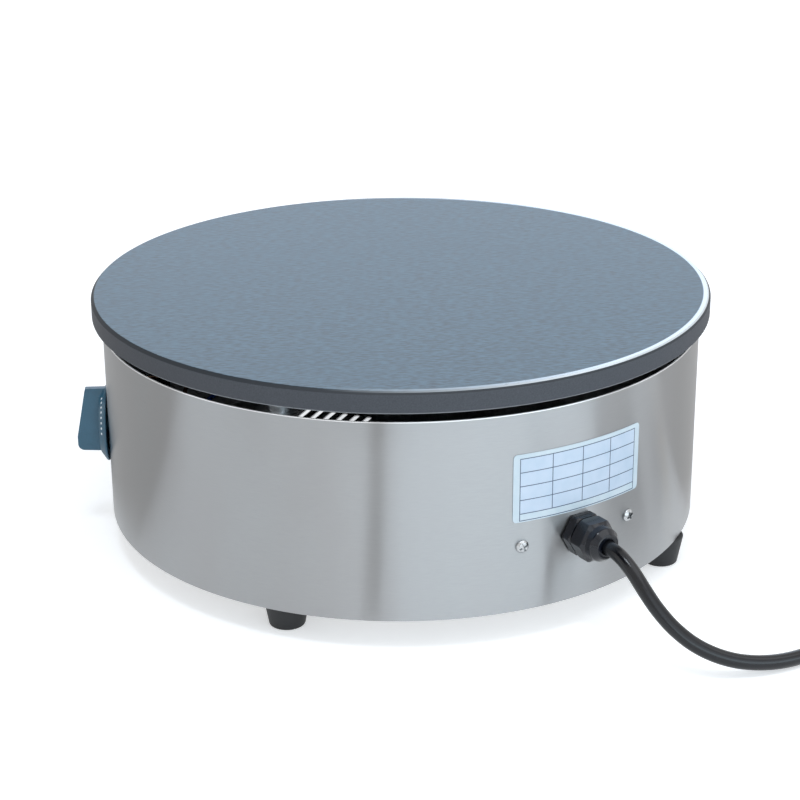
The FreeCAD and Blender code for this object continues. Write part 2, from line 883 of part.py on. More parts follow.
def bulb_clip():
    """A saddle under the sensor with one ear against the plate, and its screw."""
    inner = bulb_d / 2 + fit
    outer = inner + clip_t
    z = bulb_z()
    half = clip_w / 2
    saddle = Part.makeCylinder(outer, clip_w, V(-half, -bulb_r, z), X_AXIS)
    saddle = saddle.cut(Part.makeCylinder(inner, clip_w + 2, V(-half - 1, -bulb_r, z), X_AXIS))
    saddle = saddle.cut(box(-half - 1, half + 1, -bulb_r - outer - 1, -bulb_r + outer + 1, z, z + outer + 1))
    at = clip_screw_at()
    post = box(-half, half, -bulb_r + inner, -bulb_r + outer, z, plate_under - clip_t)
    ear = box(-half, half, -bulb_r + inner, at.y + clip_ear, plate_under - clip_t, plate_under)
    hole = moved(cylinder(m4_nut[2] / 2 + fit, plate_under - 3, plate_under + 1), at)
    clip = saddle.fuse([post, ear]).removeSplitter().cut(hole)
    screw = pan_screw(m4_head_d, m4_head_h, m4_nut[2], clip_t + clip_screw_in)
    screw.rotate(ORIGIN, X_AXIS, 180)
    return group([clip, moved(screw, at + V(0, 0, plate_under - clip_t))])


# Pilot lights


def pilot_housings():
    body = cylinder(pilot_d / 2, -pilot_depth, 0).fuse(cylinder(pilot_bezel_d / 2, 0, pilot_bezel_t))
    body = body.removeSplitter()
    return group([on_wall(body, az, drum_ro, knob_z) for az in pilot_azs])


def pilot_lens(az):
    r = pilot_lens_d / 2
    z = pilot_bezel_t
    lens = revolve([
        (0, z), (r, z), (r, z + pilot_lens_h * 0.6), (r * 0.8, z + pilot_lens_h * 0.9),
        (r * 0.4, z + pilot_lens_h), (0, z + pilot_lens_h),
    ])
    return on_wall(lens, az, drum_ro, knob_z)


def pilot_nuts():
    size = (pilot_nut_af, pilot_nut_t, pilot_d)
    sag = drum_ri - math.sqrt(drum_ri**2 - (size[0] / math.sqrt(3)) ** 2)
    nut = hex_nut(size, -drum_sheet - sag - size[1])
    return group([on_wall(nut, az, drum_ro, knob_z) for az in pilot_azs])


# Gland, terminal bracket, terminal block and label


def gland_washer():
    washer = ring(gland_af / 2 - gland_washer_step, gland_thread_d / 2 + fit, 0, gland_washer_t)
    return on_wall(washer, gland_az, drum_ro, gland_z)


def gland_body():
    hex_top = gland_washer_t + gland_hex_t
    flange = hexagon(gland_af, gland_washer_t, hex_top)
    r = gland_af / math.sqrt(3)
    trim = revolve([
        (0, 0), (r, 0), (r, hex_top - gland_chamfer), (r - gland_chamfer, hex_top), (0, hex_top),
    ])
    flange = flange.common(trim)
    spigot = cylinder(gland_thread_d / 2, -locknut_depth() - nut_play, gland_washer_t)
    neck = cylinder(gland_thread_d / 2 - gland_neck_step, hex_top, hex_top + gland_neck + gland_thread_up)
    body = flange.fuse([spigot, neck]).removeSplitter()
    bore = cylinder(cord_d / 2 + cord_room, -60, 60)
    return on_wall(body.cut(bore), gland_az, drum_ro, gland_z)


def gland_nut():
    z0 = gland_washer_t + gland_hex_t + gland_neck
    z1 = z0 + gland_nut_hex
    z2 = z1 + gland_dome_h
    r = gland_af / math.sqrt(3)
    shoulder = gland_af / 2 - gland_chamfer
    edge = gland_chamfer
    mouth = gland_mouth_d / 2
    blank = hexagon(gland_af, z0, z1).common(revolve([
        (0, z0), (r - edge, z0), (r, z0 + edge), (r, z1 - 2 * edge), (r - 2 * edge, z1), (0, z1),
    ]))
    dome = revolve([
        (0, z1),
        (shoulder, z1),
        (shoulder - 0.6 * edge, z1 + gland_dome_h * 0.45),
        (shoulder - 2 * edge, z1 + gland_dome_h * 0.8),
        (mouth, z2),
        (0, z2),
    ])
    body = blank.fuse(dome).removeSplitter()
    thread = cylinder(gland_thread_d / 2 - gland_neck_step + fit, z0 - 1, z0 + gland_thread_up + 0.2)
    seat = cylinder(cord_d / 2 + seal_t, z0, z2 - gland_lip)
    mouth_cut = cylinder(cord_d / 2 + mouth_room, z0, z2 + 1)
    return on_wall(body.cut([thread, seat, mouth_cut]), gland_az, drum_ro, gland_z)


def gland_seal():
    z0 = gland_washer_t + gland_hex_t + gland_neck + gland_thread_up
    z1 = gland_reach - gland_lip
    seal = ring(cord_d / 2 + seal_t - fit, cord_d / 2 + fit, z0 + fit, z1 - fit)
    return on_wall(seal, gland_az, drum_ro, gland_z)


def locknut_depth():
    """From the drum's outside to the locknut's inner face."""
    inner = drum_ri - holder_t
    half = locknut_af / math.sqrt(3)
    return drum_ro - math.sqrt(inner**2 - half**2) + locknut_t


def gland_locknut():
    nut = hex_nut((locknut_af, locknut_t, gland_thread_d), -locknut_depth())
    return on_wall(nut, gland_az, drum_ro, gland_z)


def terminal_bracket():
    z0 = shelf_top - holder_t
    z1 = gland_z + holder_above
    half = drum_ri * math.sin(math.radians(holder_half_angle))
    strip = box(-half, half, -drum_ro, -shelf_inner_r, z0, z1)
    strip = strip.common(ring(drum_ri, drum_ri - holder_t, z0, z1))
    shelf = box(-shelf_w / 2, shelf_w / 2, -drum_ro, -shelf_inner_r, z0, shelf_top)
    shelf = shelf.common(cylinder(drum_ri, z0, shelf_top))
    holder = turned(strip.fuse(shelf).removeSplitter(), gland_az)
    gland = on_wall(cylinder(gland_thread_d / 2 + 2 * fit, -40, 5), gland_az, drum_ro, gland_z)
    small = cylinder(m4_nut[2] / 2 + 3 * fit, -40, 5)
    cuts = [gland]
    for side in (-1, 1):
        cuts.append(on_wall(small, gland_az + side * screw_spread, drum_ro, screw_z))
    return holder.cut(cuts)


def bracket_screws():
    grip_length = drum_sheet + holder_t + m4_nut[1] + nut_play
    screw = pan_screw(pan_head_d, pan_head_h, m4_nut[2], grip_length)
    return group([on_wall(screw, gland_az + side * screw_spread, drum_ro, screw_z) for side in (-1, 1)])


def bracket_nuts():
    nut = hex_nut(m4_nut, -drum_sheet - holder_t - fit - m4_nut[1])
    return group([on_wall(nut, gland_az + side * screw_spread, drum_ro, screw_z) for side in (-1, 1)])


def terminal_block():
    r0 = block_inner_r
    r1 = block_inner_r + block_depth
    body = box(-block_w / 2, block_w / 2, -r1, -r0, shelf_top, shelf_top + block_h)
    top = shelf_top + block_h
    body = body.makeFillet(block_round, [e for e in body.Edges if e.BoundBox.ZLength > block_h / 2])
    cuts = []
    for k in (-1, 0, 1):
        x = k * block_pitch
        for row in (wire_row, core_row):
            z = shelf_top + block_h * row
            mouth = V(x, -r0 - port_depth, z)
            cuts.append(Part.makeCylinder(core_d / 2 + port_room, port_depth, mouth, V(0, 1, 0)))
        well = clamp_screw_d / 2 + 2 * fit
        cuts.append(cylinder(well, top - clamp_screw_depth, top + 1, x, -(r0 + clamp_screw_in)))
        if k < 1:
            x0 = x + (block_pitch - barrier_w) / 2
            cuts.append(box(x0, x0 + barrier_w, -r1 - 1, -r0 + 1, top - barrier_depth, top + 1))
    return turned(body.cut(cuts), gland_az)


def terminal_screws():
    top = shelf_top + block_h - clamp_screw_sunk
    low = shelf_top + block_h - clamp_screw_depth + fit
    solids = []
    for k in (-1, 0, 1):
        screw = cylinder(clamp_screw_d / 2, low, top)
        screw = screw.cut(box(-clamp_screw_d, clamp_screw_d, -0.35, 0.35, top - 0.9, top + 1))
        solids.append(moved(screw, V(k * block_pitch, -(block_inner_r + clamp_screw_in), 0)))
    return turned(group(solids), gland_az)


def rating_label():
    z0 = drum_bottom + label_low
    z1 = z0 + label_h
    half = (drum_ro + label_t) * math.sin(math.radians(label_half_angle))
    sheet = box(-half, half, z0, z1, drum_ro - 30, drum_ro + 5)
    sheet = sheet.makeFillet(label_corner, [e for e in sheet.Edges if e.BoundBox.ZLength > 30])
    sheet.rotate(ORIGIN, X_AXIS, 90)
    r = drum_ro + label_gap
    skin = sheet.common(ring(r + label_t, r, z0, z1))
    return turned(skin, label_az)


# Mains cord, coil and plug


def cord_tail():
    """The cord's end inside the gland, with its three cores bent into the terminal block."""
    jacket = on_wall(cylinder(cord_d / 2, tail_end_r - drum_ro, gland_reach), gland_az, drum_ro, gland_z)
    port_z = shelf_top + block_h * core_row
    solids = [jacket]
    for k in (-1, 0, 1):
        spread = k * core_spread
        x = k * block_pitch
        points = [
            along(tail_end_r, spread, gland_az, gland_z),
            along(tail_end_r - 6, spread * 1.4, gland_az, gland_z),
            along(tail_end_r - 9, (spread + x) / 2, gland_az, (gland_z + port_z) / 2),
            along(tail_end_r - 5, x, gland_az, port_z),
            along(block_inner_r + port_depth - 2, x, gland_az, port_z),
        ]
        solids.append(tube(points, core_d))
    return group(solids)


def coil_start():
    return V(coil_x + coil_outer_r, coil_y, coil_z)


def power_cord():
    points = [polar(gland_exit_r, gland_az, gland_z), polar(gland_exit_r + cord_lead, gland_az, gland_z)]
    points += [V(*p) for p in cord_route]
    points += [coil_start() - V(0, coil_lead, 0), coil_start() - V(0, cord_d, 0)]
    return tube(points, cord_d, "power cord")


def coil_point(t):
    """The coil's centre line after t turns: it winds in, climbs a layer and winds out again."""
    mid = coil_turns / 2
    r = coil_outer_r - coil_pitch * (mid - abs(t - mid))
    climb = min(1, max(0, (t - mid) * 2 + 0.5))
    climb = climb * climb * (3 - 2 * climb)
    a = 2 * math.pi * t
    return V(coil_x + r * math.cos(a), coil_y + r * math.sin(a), coil_z + coil_pitch * climb)


def coil_tangent(t):
    step = 1e-4
    if t < step:
        return V(0, 1, 0)
    if t > coil_turns - step:
        a = 2 * math.pi * coil_turns
        return V(-math.sin(a), math.cos(a), 0)
    return (coil_point(t + step) - coil_point(t - step)).normalize()


def biarc(p0, t0, p1, t1):
    """Two arcs that meet smoothly, from p0 along t0 to p1 along t1."""
    v = p1 - p0
    t = t0 + t1
    a = 2 * (1 - t0.dot(t1))
    b = v.dot(t)
    d = (-b + math.sqrt(b * b + a * v.dot(v))) / a
    q0 = p0 + t0 * d
    q1 = p1 - t1 * d
    joint = (q0 + q1) * 0.5
    meet = (q1 - q0).normalize()
    return [arc_from(p0, t0, joint), arc_from(joint, meet, p1)]


def cord_coil():
    quarters = int(round(coil_turns * 4))
    ts = [coil_turns * k / quarters for k in range(quarters + 1)]
    lead_in = coil_start() - V(0, cord_d, 0)
    edges = [Part.LineSegment(lead_in, coil_start()).toShape()]
    for a, b in zip(ts, ts[1:]):
        edges += biarc(coil_point(a), coil_tangent(a), coil_point(b), coil_tangent(b))
    last = coil_point(coil_turns)
    lead_out = last + coil_tangent(coil_turns) * cord_d
    edges.append(Part.LineSegment(last, lead_out).toShape())
    wire = Part.Wire(edges)
    least = coil_gap(wire)
    print("coil length", round(wire.Length, 1), "least gap to itself", round(least, 2))
    return sweep(wire, cord_d)


def coil_gap(wire):
    """The least gap between two turns, measured on points along the centre line."""
    step = 3.0
    points = wire.discretize(Distance=step)
    skip = int(8 * cord_d / step)
    least = 1e9
    for i, p in enumerate(points):
        for q in points[i + skip:]:
            least = min(least, (p - q).Length)
    return least - cord_d


def cord_plug_end():
    last = coil_point(coil_turns)
    away = coil_tangent(coil_turns)
    points = [last + away * cord_d, last + away * plug_lead] + [V(*p) for p in plug_route]
    return tube(points, cord_d, "plug end")


def cord_tie():
    """A strap round the bundle of turns."""
    mid = coil_turns / 2
    r_in = coil_outer_r - coil_pitch * mid - cord_d / 2 - tie_fit
    r_out = coil_outer_r + cord_d / 2 + tie_fit
    z0 = tie_t
    z1 = coil_z + coil_pitch + cord_d / 2 + tie_fit
    outer = box(r_in - tie_t, r_out + tie_t, -tie_w / 2, tie_w / 2, 0, z1 + tie_t)
    outer = outer.makeFillet(tie_round + tie_t, [e for e in outer.Edges if e.BoundBox.YLength > tie_w / 2])
    inner = box(r_in, r_out, -tie_w, tie_w, z0, z1)
    inner = inner.makeFillet(tie_round, [e for e in inner.Edges if e.BoundBox.YLength > tie_w])
    return moved(turned(outer.cut(inner), tie_at), V(coil_x, coil_y, 0))


def on_plug(shape):
    """Local z runs along the plug, away from the cord, and y is up."""
    end = V(*plug_route[-1])
    before = V(*plug_route[-2])
    heading = end - before
    out = shape.copy()
    out.rotate(ORIGIN, X_AXIS, 90)
    out.rotate(ORIGIN, Z_AXIS, math.degrees(math.atan2(heading.y, heading.x)) + 90)
    out.translate(V(end.x, end.y, plug_t / 2))
    return out


def plug_body():
    boot = Part.makeCone(plug_boot_tip_d / 2, plug_boot_root_d / 2, plug_boot_l)
    z1 = plug_boot_l + plug_l
    block = box(-plug_w / 2, plug_w / 2, -plug_t / 2, plug_t / 2, plug_boot_l, z1)
    block = block.makeFillet(plug_round, [e for e in block.Edges if e.BoundBox.ZLength > plug_l / 2])
    back = [e for e in block.Edges if abs(e.BoundBox.ZMin - plug_boot_l) < 1e-6 and e.BoundBox.ZLength < 1e-6]
    block = block.makeFillet(plug_round * 0.8, back)
    return on_plug(boot.fuse(block).removeSplitter())


def plug_pins():
    z0 = plug_boot_l + plug_l
    blade = box(-plug_pin_t / 2, plug_pin_t / 2, -plug_pin_w / 2, plug_pin_w / 2, z0, z0 + plug_pin_l)
    earth = box(-plug_pin_t / 2, plug_pin_t / 2, -plug_pin_w / 2, plug_pin_w / 2, z0, z0 + plug_earth_l)
    solids = [moved(earth, V(0, plug_earth_y, 0))]
    for side in (-1, 1):
        solids.append(moved(turned(blade, side * plug_pin_slant), V(side * plug_pin_x, plug_pin_y, 0)))
    return group([on_plug(s) for s in solids])


# Wiring inside the drum


def lane(r, az0, az1, z):
    """Points that follow the drum's wall."""
    count = max(2, int(round(abs(az1 - az0) / 16)))
    return [polar(r, az0 + (az1 - az0) * k / count, z) for k in range(count + 1)]


def block_port(x):
    return along(block_inner_r + port_depth - 2, x, gland_az, shelf_top + block_h * wire_row)


def live_wire():
    z = shelf_top + block_h * wire_row
    back = thermostat_front_r - thermostat_plate_t - thermostat_depth
    points = [block_port(-block_pitch), along(block_inner_r - 8, -block_pitch, gland_az, z)]
    points += lane(live_lane_r, gland_az - 20, knob_az + 22, lane_z)
    points += [along(back - 16, 26, knob_az, knob_z - 14), along(back - 14, 8, knob_az, knob_z - 8)]
    points += [along(back - fit, 8, knob_az, knob_z - 8)]
    return tube(points, wire_d)


def neutral_wire():
    z = shelf_top + block_h * wire_row
    pin = leg_feet()[3]
    pin_z = leg_end - bead_h - link_drop / 2
    points = [block_port(0), along(block_inner_r - 12, 0, gland_az, z)]
    points += lane(neutral_lane_r, gland_az - 22, knob_az + 30, lane_z - 4)
    points += [polar(neutral_lane_r - 10, knob_az + 22, lane_z + 20)]
    points += [polar(neutral_lane_r - 20, knob_az + 19, pin_z - 10)]
    points += [polar(112, knob_az + 8, pin_z), pin + V(pin_d, -pin_d, pin_z)]
    return tube(points, wire_d)


def heater_wire():
    back = thermostat_front_r - thermostat_plate_t - thermostat_depth
    pin = leg_feet()[0]
    pin_z = leg_end - bead_h - link_drop / 2
    points = [
        along(back - fit, -8, knob_az, knob_z + 8),
        along(back - 14, -8, knob_az, knob_z + 8),
        along(back - 20, -26, knob_az, (knob_z + pin_z) / 2 + 8),
        along(back - 28, -44, knob_az, pin_z),
        pin + V(pin_d * 0.8, -pin_d * 0.4, pin_z),
    ]
    return tube(points, wire_d)


def earth_wire():
    z = shelf_top + block_h * wire_row
    stud_z = base_top + earth_lug_up
    points = [
        block_port(block_pitch),
        along(block_inner_r - 8, block_pitch, gland_az, z),
        along(earth_r - 11, -3, earth_az, (z + stud_z) / 2),
        along(earth_r - 12, 0, earth_az, stud_z),
        along(earth_r - earth_nut[2] / 2 - fit, 0, earth_az, stud_z),
    ]
    return tube(points, wire_d)


def earth_stud():
    shank = cylinder(earth_nut[2] / 2, foot_h - earth_head_h, base_top + earth_up)
    head = cylinder(earth_head_d / 2, foot_h - earth_head_h, foot_h)
    stud = shank.fuse(head).removeSplitter()
    nut = hex_nut(earth_nut, base_top)
    at = polar(earth_r, earth_az)
    return group([moved(stud, at), moved(nut, at)])


PIECES = {
    "griddle_plate": griddle_plate,
    "plate_studs": plate_studs,
    "plate_spacers": plate_spacers,
    "stud_nuts": stud_nuts,
    "support_brackets": support_brackets,
    "outer_heating_element": lambda: heating_element(0),
    "inner_heating_element": lambda: heating_element(1),
    "element_terminals": element_terminals,
    "element_link": element_link,
    "clamp_disc": clamp_disc,
    "clamp_studs": clamp_studs,
    "clamp_nuts": clamp_nuts,
    "insulation_blanket": insulation_blanket,
    "heat_shield_pan": heat_shield_pan,
    "pan_nuts": pan_nuts,
    "drum_shell": drum_shell,
    "base_plate": base_plate,
    "foot_tabs": foot_tabs,
    "foot_right": lambda: rubber_foot(0),
    "foot_back": lambda: rubber_foot(1),
    "foot_left": lambda: rubber_foot(2),
    "foot_front": lambda: rubber_foot(3),
    "foot_screws": foot_screws,
    "foot_washers": foot_washers,
    "foot_nuts": foot_nuts,
    "thermostat_body": thermostat_body,
    "thermostat_plate": thermostat_plate,
    "thermostat_screws": thermostat_screws,
    "thermostat_shaft": thermostat_shaft,
    "capillary_bulb": capillary_bulb,
    "bulb_clip": bulb_clip,
    "temperature_knob": temperature_knob,
    "knob_spring_clip": knob_spring_clip,
    "pilot_housings": pilot_housings,
    "pilot_lens_green": lambda: pilot_lens(pilot_azs[0]),
    "pilot_lens_amber": lambda: pilot_lens(pilot_azs[1]),
    "pilot_nuts": pilot_nuts,
    "gland_washer": gland_washer,
    "gland_body": gland_body,
    "gland_seal": gland_seal,
    "gland_nut": gland_nut,
    "gland_locknut": gland_locknut,
    "terminal_bracket": terminal_bracket,
    "bracket_screws": bracket_screws,
    "bracket_nuts": bracket_nuts,
    "terminal_block": terminal_block,
    "terminal_screws": terminal_screws,
    "rating_label": rating_label,
    "cord_tail": cord_tail,
    "power_cord": power_cord,
    "cord_coil": cord_coil,
    "cord_plug_end": cord_plug_end,
    "cord_tie": cord_tie,
    "plug_body": plug_body,
    "plug_pins": plug_pins,
    "live_wire": live_wire,
    "neutral_wire": neutral_wire,
    "heater_wire": heater_wire,
    "earth_wire": earth_wire,
    "earth_stud": earth_stud,
}

os.makedirs("parts", exist_ok=True)
for name, make in PIECES.items():
    shape = make()
    if not shape.isValid():
        print("not valid:", name)
    shape.exportStep("parts/" + name + ".step")
print(len(PIECES), "pieces")
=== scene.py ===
import json
import math

import bmesh
import bpy
from mathutils import Matrix, Vector


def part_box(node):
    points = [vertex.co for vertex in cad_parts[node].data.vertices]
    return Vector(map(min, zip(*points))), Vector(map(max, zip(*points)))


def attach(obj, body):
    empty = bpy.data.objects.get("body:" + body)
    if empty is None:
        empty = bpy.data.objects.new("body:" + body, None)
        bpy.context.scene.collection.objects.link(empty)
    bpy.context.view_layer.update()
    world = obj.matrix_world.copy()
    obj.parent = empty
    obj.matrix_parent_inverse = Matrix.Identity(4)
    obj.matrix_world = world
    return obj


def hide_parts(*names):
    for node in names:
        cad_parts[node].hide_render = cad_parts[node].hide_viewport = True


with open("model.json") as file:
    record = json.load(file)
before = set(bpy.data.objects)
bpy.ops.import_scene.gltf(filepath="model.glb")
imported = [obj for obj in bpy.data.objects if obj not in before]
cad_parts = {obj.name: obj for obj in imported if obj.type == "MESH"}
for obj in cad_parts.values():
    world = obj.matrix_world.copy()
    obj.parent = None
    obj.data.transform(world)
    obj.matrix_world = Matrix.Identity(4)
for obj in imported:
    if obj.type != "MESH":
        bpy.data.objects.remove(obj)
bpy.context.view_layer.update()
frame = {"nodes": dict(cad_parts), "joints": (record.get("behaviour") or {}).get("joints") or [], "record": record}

# The looks of a countertop electric crepe maker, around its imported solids.
# Lengths are in metres unless a name ends in _mm. Angles are in degrees, and an azimuth of 0 is -Y and
# one of 90 is +X.

mm = 0.001

# Sizes that come from the solids
drum_low, drum_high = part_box("drum_shell")
drum_r = drum_high.x
plate_low, plate_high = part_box("griddle_plate")
knob_back = Vector(frame["joints"][0]["pos_m"])

# Places that the solids share with these pieces
gland_az = 120.0
gland_z = 63.0 * mm
screw_z = 62.0 * mm
screw_half_angle = 11.75
pilot_azs = {"green": 346.0, "amber": 338.0}
support_azs = (64.0, 154.0, 244.0, 334.0)
support_circle_r = drum_r - 13.75 * mm
clamp_azs = (60.0, 180.0, 300.0)
clamp_circle_r = 93.0 * mm
foot_names = ("foot_right", "foot_back", "foot_left", "foot_front")
cord_d = 9.0 * mm
plug_axis_z = 14.0 * mm


def polar(r, az, z=0.0):
    """A point at a radius, an azimuth and a height."""
    a = math.radians(az)
    return Vector((r * math.sin(a), -r * math.cos(a), z))


def on_wall(reach, az, height):
    """Local x runs round the drum, y is up and z points outwards."""
    turn = Matrix.Rotation(math.radians(az), 4, "Z")
    stand = Matrix.Rotation(math.radians(90), 4, "X")
    return turn @ Matrix.Translation((0, -reach, height)) @ stand


# Colours and nodes


def paint(code):
    """An sRGB hex colour as the linear colour that a socket takes."""
    parts = [int(code[k:k + 2], 16) / 255 for k in (1, 3, 5)]
    return [c / 12.92 if c <= 0.04045 else ((c + 0.055) / 1.055) ** 2.4 for c in parts] + [1.0]


def add(tree, kind, inputs=None, **settings):
    """One node with its settings, and its inputs linked or set."""
    node = tree.nodes.new(kind)
    for name, value in settings.items():
        setattr(node, name, value)
    for socket, value in (inputs or {}).items():
        if isinstance(value, bpy.types.NodeSocket):
            tree.links.new(value, node.inputs[socket])
        else:
            node.inputs[socket].default_value = value
    return node


def arithmetic(tree, operation, a, b=0.0):
    return add(tree, "ShaderNodeMath", {0: a, 1: b}, operation=operation).outputs[0]


def new_material(name, inputs):
    """A material with one principled surface, whose constant inputs are set on it."""
    material = bpy.data.materials.new(name)
    material.use_nodes = True
    tree = material.node_tree
    tree.nodes.clear()
    shader = add(tree, "ShaderNodeBsdfPrincipled", inputs)
    add(tree, "ShaderNodeOutputMaterial", {"Surface": shader.outputs["BSDF"]})
    return material, tree, shader


def pattern(tree, grain_mm, stretch=(1, 1, 1), detail=3.0):
    """Noise whose features are grain_mm wide, times stretch along each axis."""
    where = add(tree, "ShaderNodeTexCoord")
    scale = [1000 / (grain_mm * s) for s in stretch]
    placed = add(tree, "ShaderNodeMapping", {"Vector": where.outputs["Object"], "Scale": scale})
    noise = add(tree, "ShaderNodeTexNoise", {"Vector": placed.outputs[0], "Scale": 1.0, "Detail": detail})
    return noise.outputs["Fac"]


def between(tree, amount, low, high, start=0.3, end=0.7):
    """A value that goes from low to high as amount goes from start to end."""
    return add(tree, "ShaderNodeMapRange", {
        "Value": amount, "From Min": start, "From Max": end, "To Min": low, "To Max": high,
    }).outputs[0]


def blended(tree, amount, low, high):
    """A colour from low to high. Amount is 0 to 1."""
    node = add(tree, "ShaderNodeMix", data_type="RGBA", clamp_factor=True)
    tree.links.new(amount, node.inputs[0])
    for socket, value in ((6, low), (7, high)):
        if isinstance(value, bpy.types.NodeSocket):
            tree.links.new(value, node.inputs[socket])
        else:
            node.inputs[socket].default_value = paint(value)
    return node.outputs[2]


def relief(tree, height, depth_mm, under=None):
    """A bump as deep as depth_mm where height goes from 0 to 1."""
    inputs = {"Height": height, "Distance": depth_mm * mm, "Strength": 1.0}
    if under:
        inputs["Normal"] = under
    return add(tree, "ShaderNodeBump", inputs).outputs[0]


def grained(name, dark, light, grain_mm, depth_mm, rough, stretch=(1, 1, 1), **constants):
    """A surface with one fine grain in its colour, its gloss and its relief, and soft unevenness over it."""
    material, tree, shader = new_material(name, {k.replace("_", " "): v for k, v in constants.items()})
    fine = pattern(tree, grain_mm, stretch)
    broad = pattern(tree, 40 * grain_mm, detail=2.0)
    half = arithmetic(tree, "MULTIPLY", arithmetic(tree, "ADD", fine, broad), 0.5)
    amount = between(tree, half, 0, 1, 0.38, 0.62)
    tree.links.new(blended(tree, amount, dark, light), shader.inputs["Base Color"])
    tree.links.new(between(tree, half, rough[0], rough[1]), shader.inputs["Roughness"])
    tree.links.new(relief(tree, fine, depth_mm), shader.inputs["Normal"])
    return material


def enamelled_iron():
    """Cast iron plate with dark satin enamel on its top, in a fine, slightly drawn-out orange peel. Its slate
    colour was matched at the photograph's shallow angle. The side is matt, with a painted highlight along its
    lower edge. A narrow ring of the top, just inside the chamfer, is a painted highlight, pale and metallic at
    +Y and fading out towards -Y."""
    material, tree, shader = new_material("enamelled_cast_iron", {"IOR": 1.52, "Specular IOR Level": 0.35})
    peel = pattern(tree, 1.9, (0.75, 2.8, 1), detail=2.5)
    fine = pattern(tree, 0.9, detail=2.0)
    cloud = pattern(tree, 90, detail=3.0)
    where = add(tree, "ShaderNodeTexCoord")
    across, along, height = add(tree, "ShaderNodeSeparateXYZ", {0: where.outputs["Object"]}).outputs
    squares = [arithmetic(tree, "MULTIPLY", place, place) for place in (across, along)]
    radius = arithmetic(tree, "POWER", arithmetic(tree, "ADD", *squares), 0.5)
    rim_r, top_z, low_z = plate_high.x, plate_high.z, plate_low.z
    on_top = between(tree, height, 0, 1, top_z - 0.16 * mm, top_z - 0.06 * mm)
    above_side = between(tree, height, 0, 1, top_z - 1.95 * mm, top_z - 1.8 * mm)
    # Painted highlight: the side is painted paler along its lower edge.
    painted_lower_edge_highlight = between(tree, height, 1, 0, low_z + 0.6 * mm, low_z + 1.0 * mm)
    near_rim = between(tree, radius, 0, 1, rim_r - 4.9 * mm, rim_r - 4.4 * mm)
    above_chamfer = between(tree, height, 0, 1, top_z - 0.9 * mm, top_z - 0.7 * mm)
    # Painted highlight: a ring of the top just inside the chamfer is painted pale and metallic, brightest at +Y
    # and fading out towards -Y.
    painted_highlight_fade = between(tree, along, 0, 1, -55 * mm, 120 * mm)
    painted_highlight_ring = arithmetic(tree, "MULTIPLY", arithmetic(tree, "MULTIPLY", near_rim, above_chamfer), painted_highlight_fade)
    top = blended(tree, between(tree, peel, 0, 1, 0.34, 0.66), "#102530", "#546d7c")
    top = blended(tree, between(tree, cloud, 0, 0.2), top, "#36505f")
    side = blended(tree, between(tree, fine, 0, 1), "#3c3f45", "#474a50")
    side = blended(tree, painted_lower_edge_highlight, side, "#8b8e92")
    side = blended(tree, above_side, side, "#2b2f34")
    skin = blended(tree, on_top, side, top)
    tree.links.new(blended(tree, painted_highlight_ring, skin, "#d3d9de"), shader.inputs["Base Color"])
    tree.links.new(arithmetic(tree, "MULTIPLY", painted_highlight_ring, 0.6), shader.inputs["Metallic"])
    satin = between(tree, on_top, 0.56, between(tree, peel, 0.3, 0.42), 0, 1)
    tree.links.new(between(tree, painted_highlight_ring, satin, 0.25, 0, 1), shader.inputs["Roughness"])
    bumps = relief(tree, fine, 0.006, relief(tree, peel, 0.07))
    tree.links.new(bumps, shader.inputs["Normal"])
    return material


def brushed_drum():
    """Stainless steel sheet, brushed along its length before it was rolled into the drum. The grain runs
    round the drum, so that it smears reflections up and down into soft vertical bands. Real grain is about
    0.05 mm wide, and it is drawn 0.3 mm wide so that it shows. A painted highlight whitens the top of the rim."""
    material, tree, shader = new_material("brushed_stainless_drum", {
        "Metallic": 1.0, "Anisotropic": 1.0, "Anisotropic Rotation": 0.25,
    })
    around = add(tree, "ShaderNodeTangent", direction_type="RADIAL", axis="Z")
    tree.links.new(around.outputs[0], shader.inputs["Tangent"])
    grain = pattern(tree, 0.3, (24, 24, 1), detail=3.0)
    cloud = pattern(tree, 45, (1, 1, 3), detail=2.0)
    tone = blended(tree, between(tree, grain, 0, 1), "#a1a3a5", "#a7a9aa")
    tone = blended(tree, between(tree, cloud, 0, 0.5), tone, "#a6a5a6")
    where = add(tree, "ShaderNodeTexCoord")
    height = add(tree, "ShaderNodeSeparateXYZ", {0: where.outputs["Object"]}).outputs[2]
    # Painted highlight: the top of the wall is painted near white towards its edge.
    rim = between(tree, height, 0, 0.8, drum_high.z - 0.9 * mm, drum_high.z - 0.5 * mm)
    tree.links.new(blended(tree, rim, tone, "#fbfcfc"), shader.inputs["Base Color"])
    uneven = arithmetic(tree, "ADD", grain, cloud)
    tree.links.new(between(tree, uneven, 0.31, 0.35, 0.8, 1.2), shader.inputs["Roughness"])
    return material


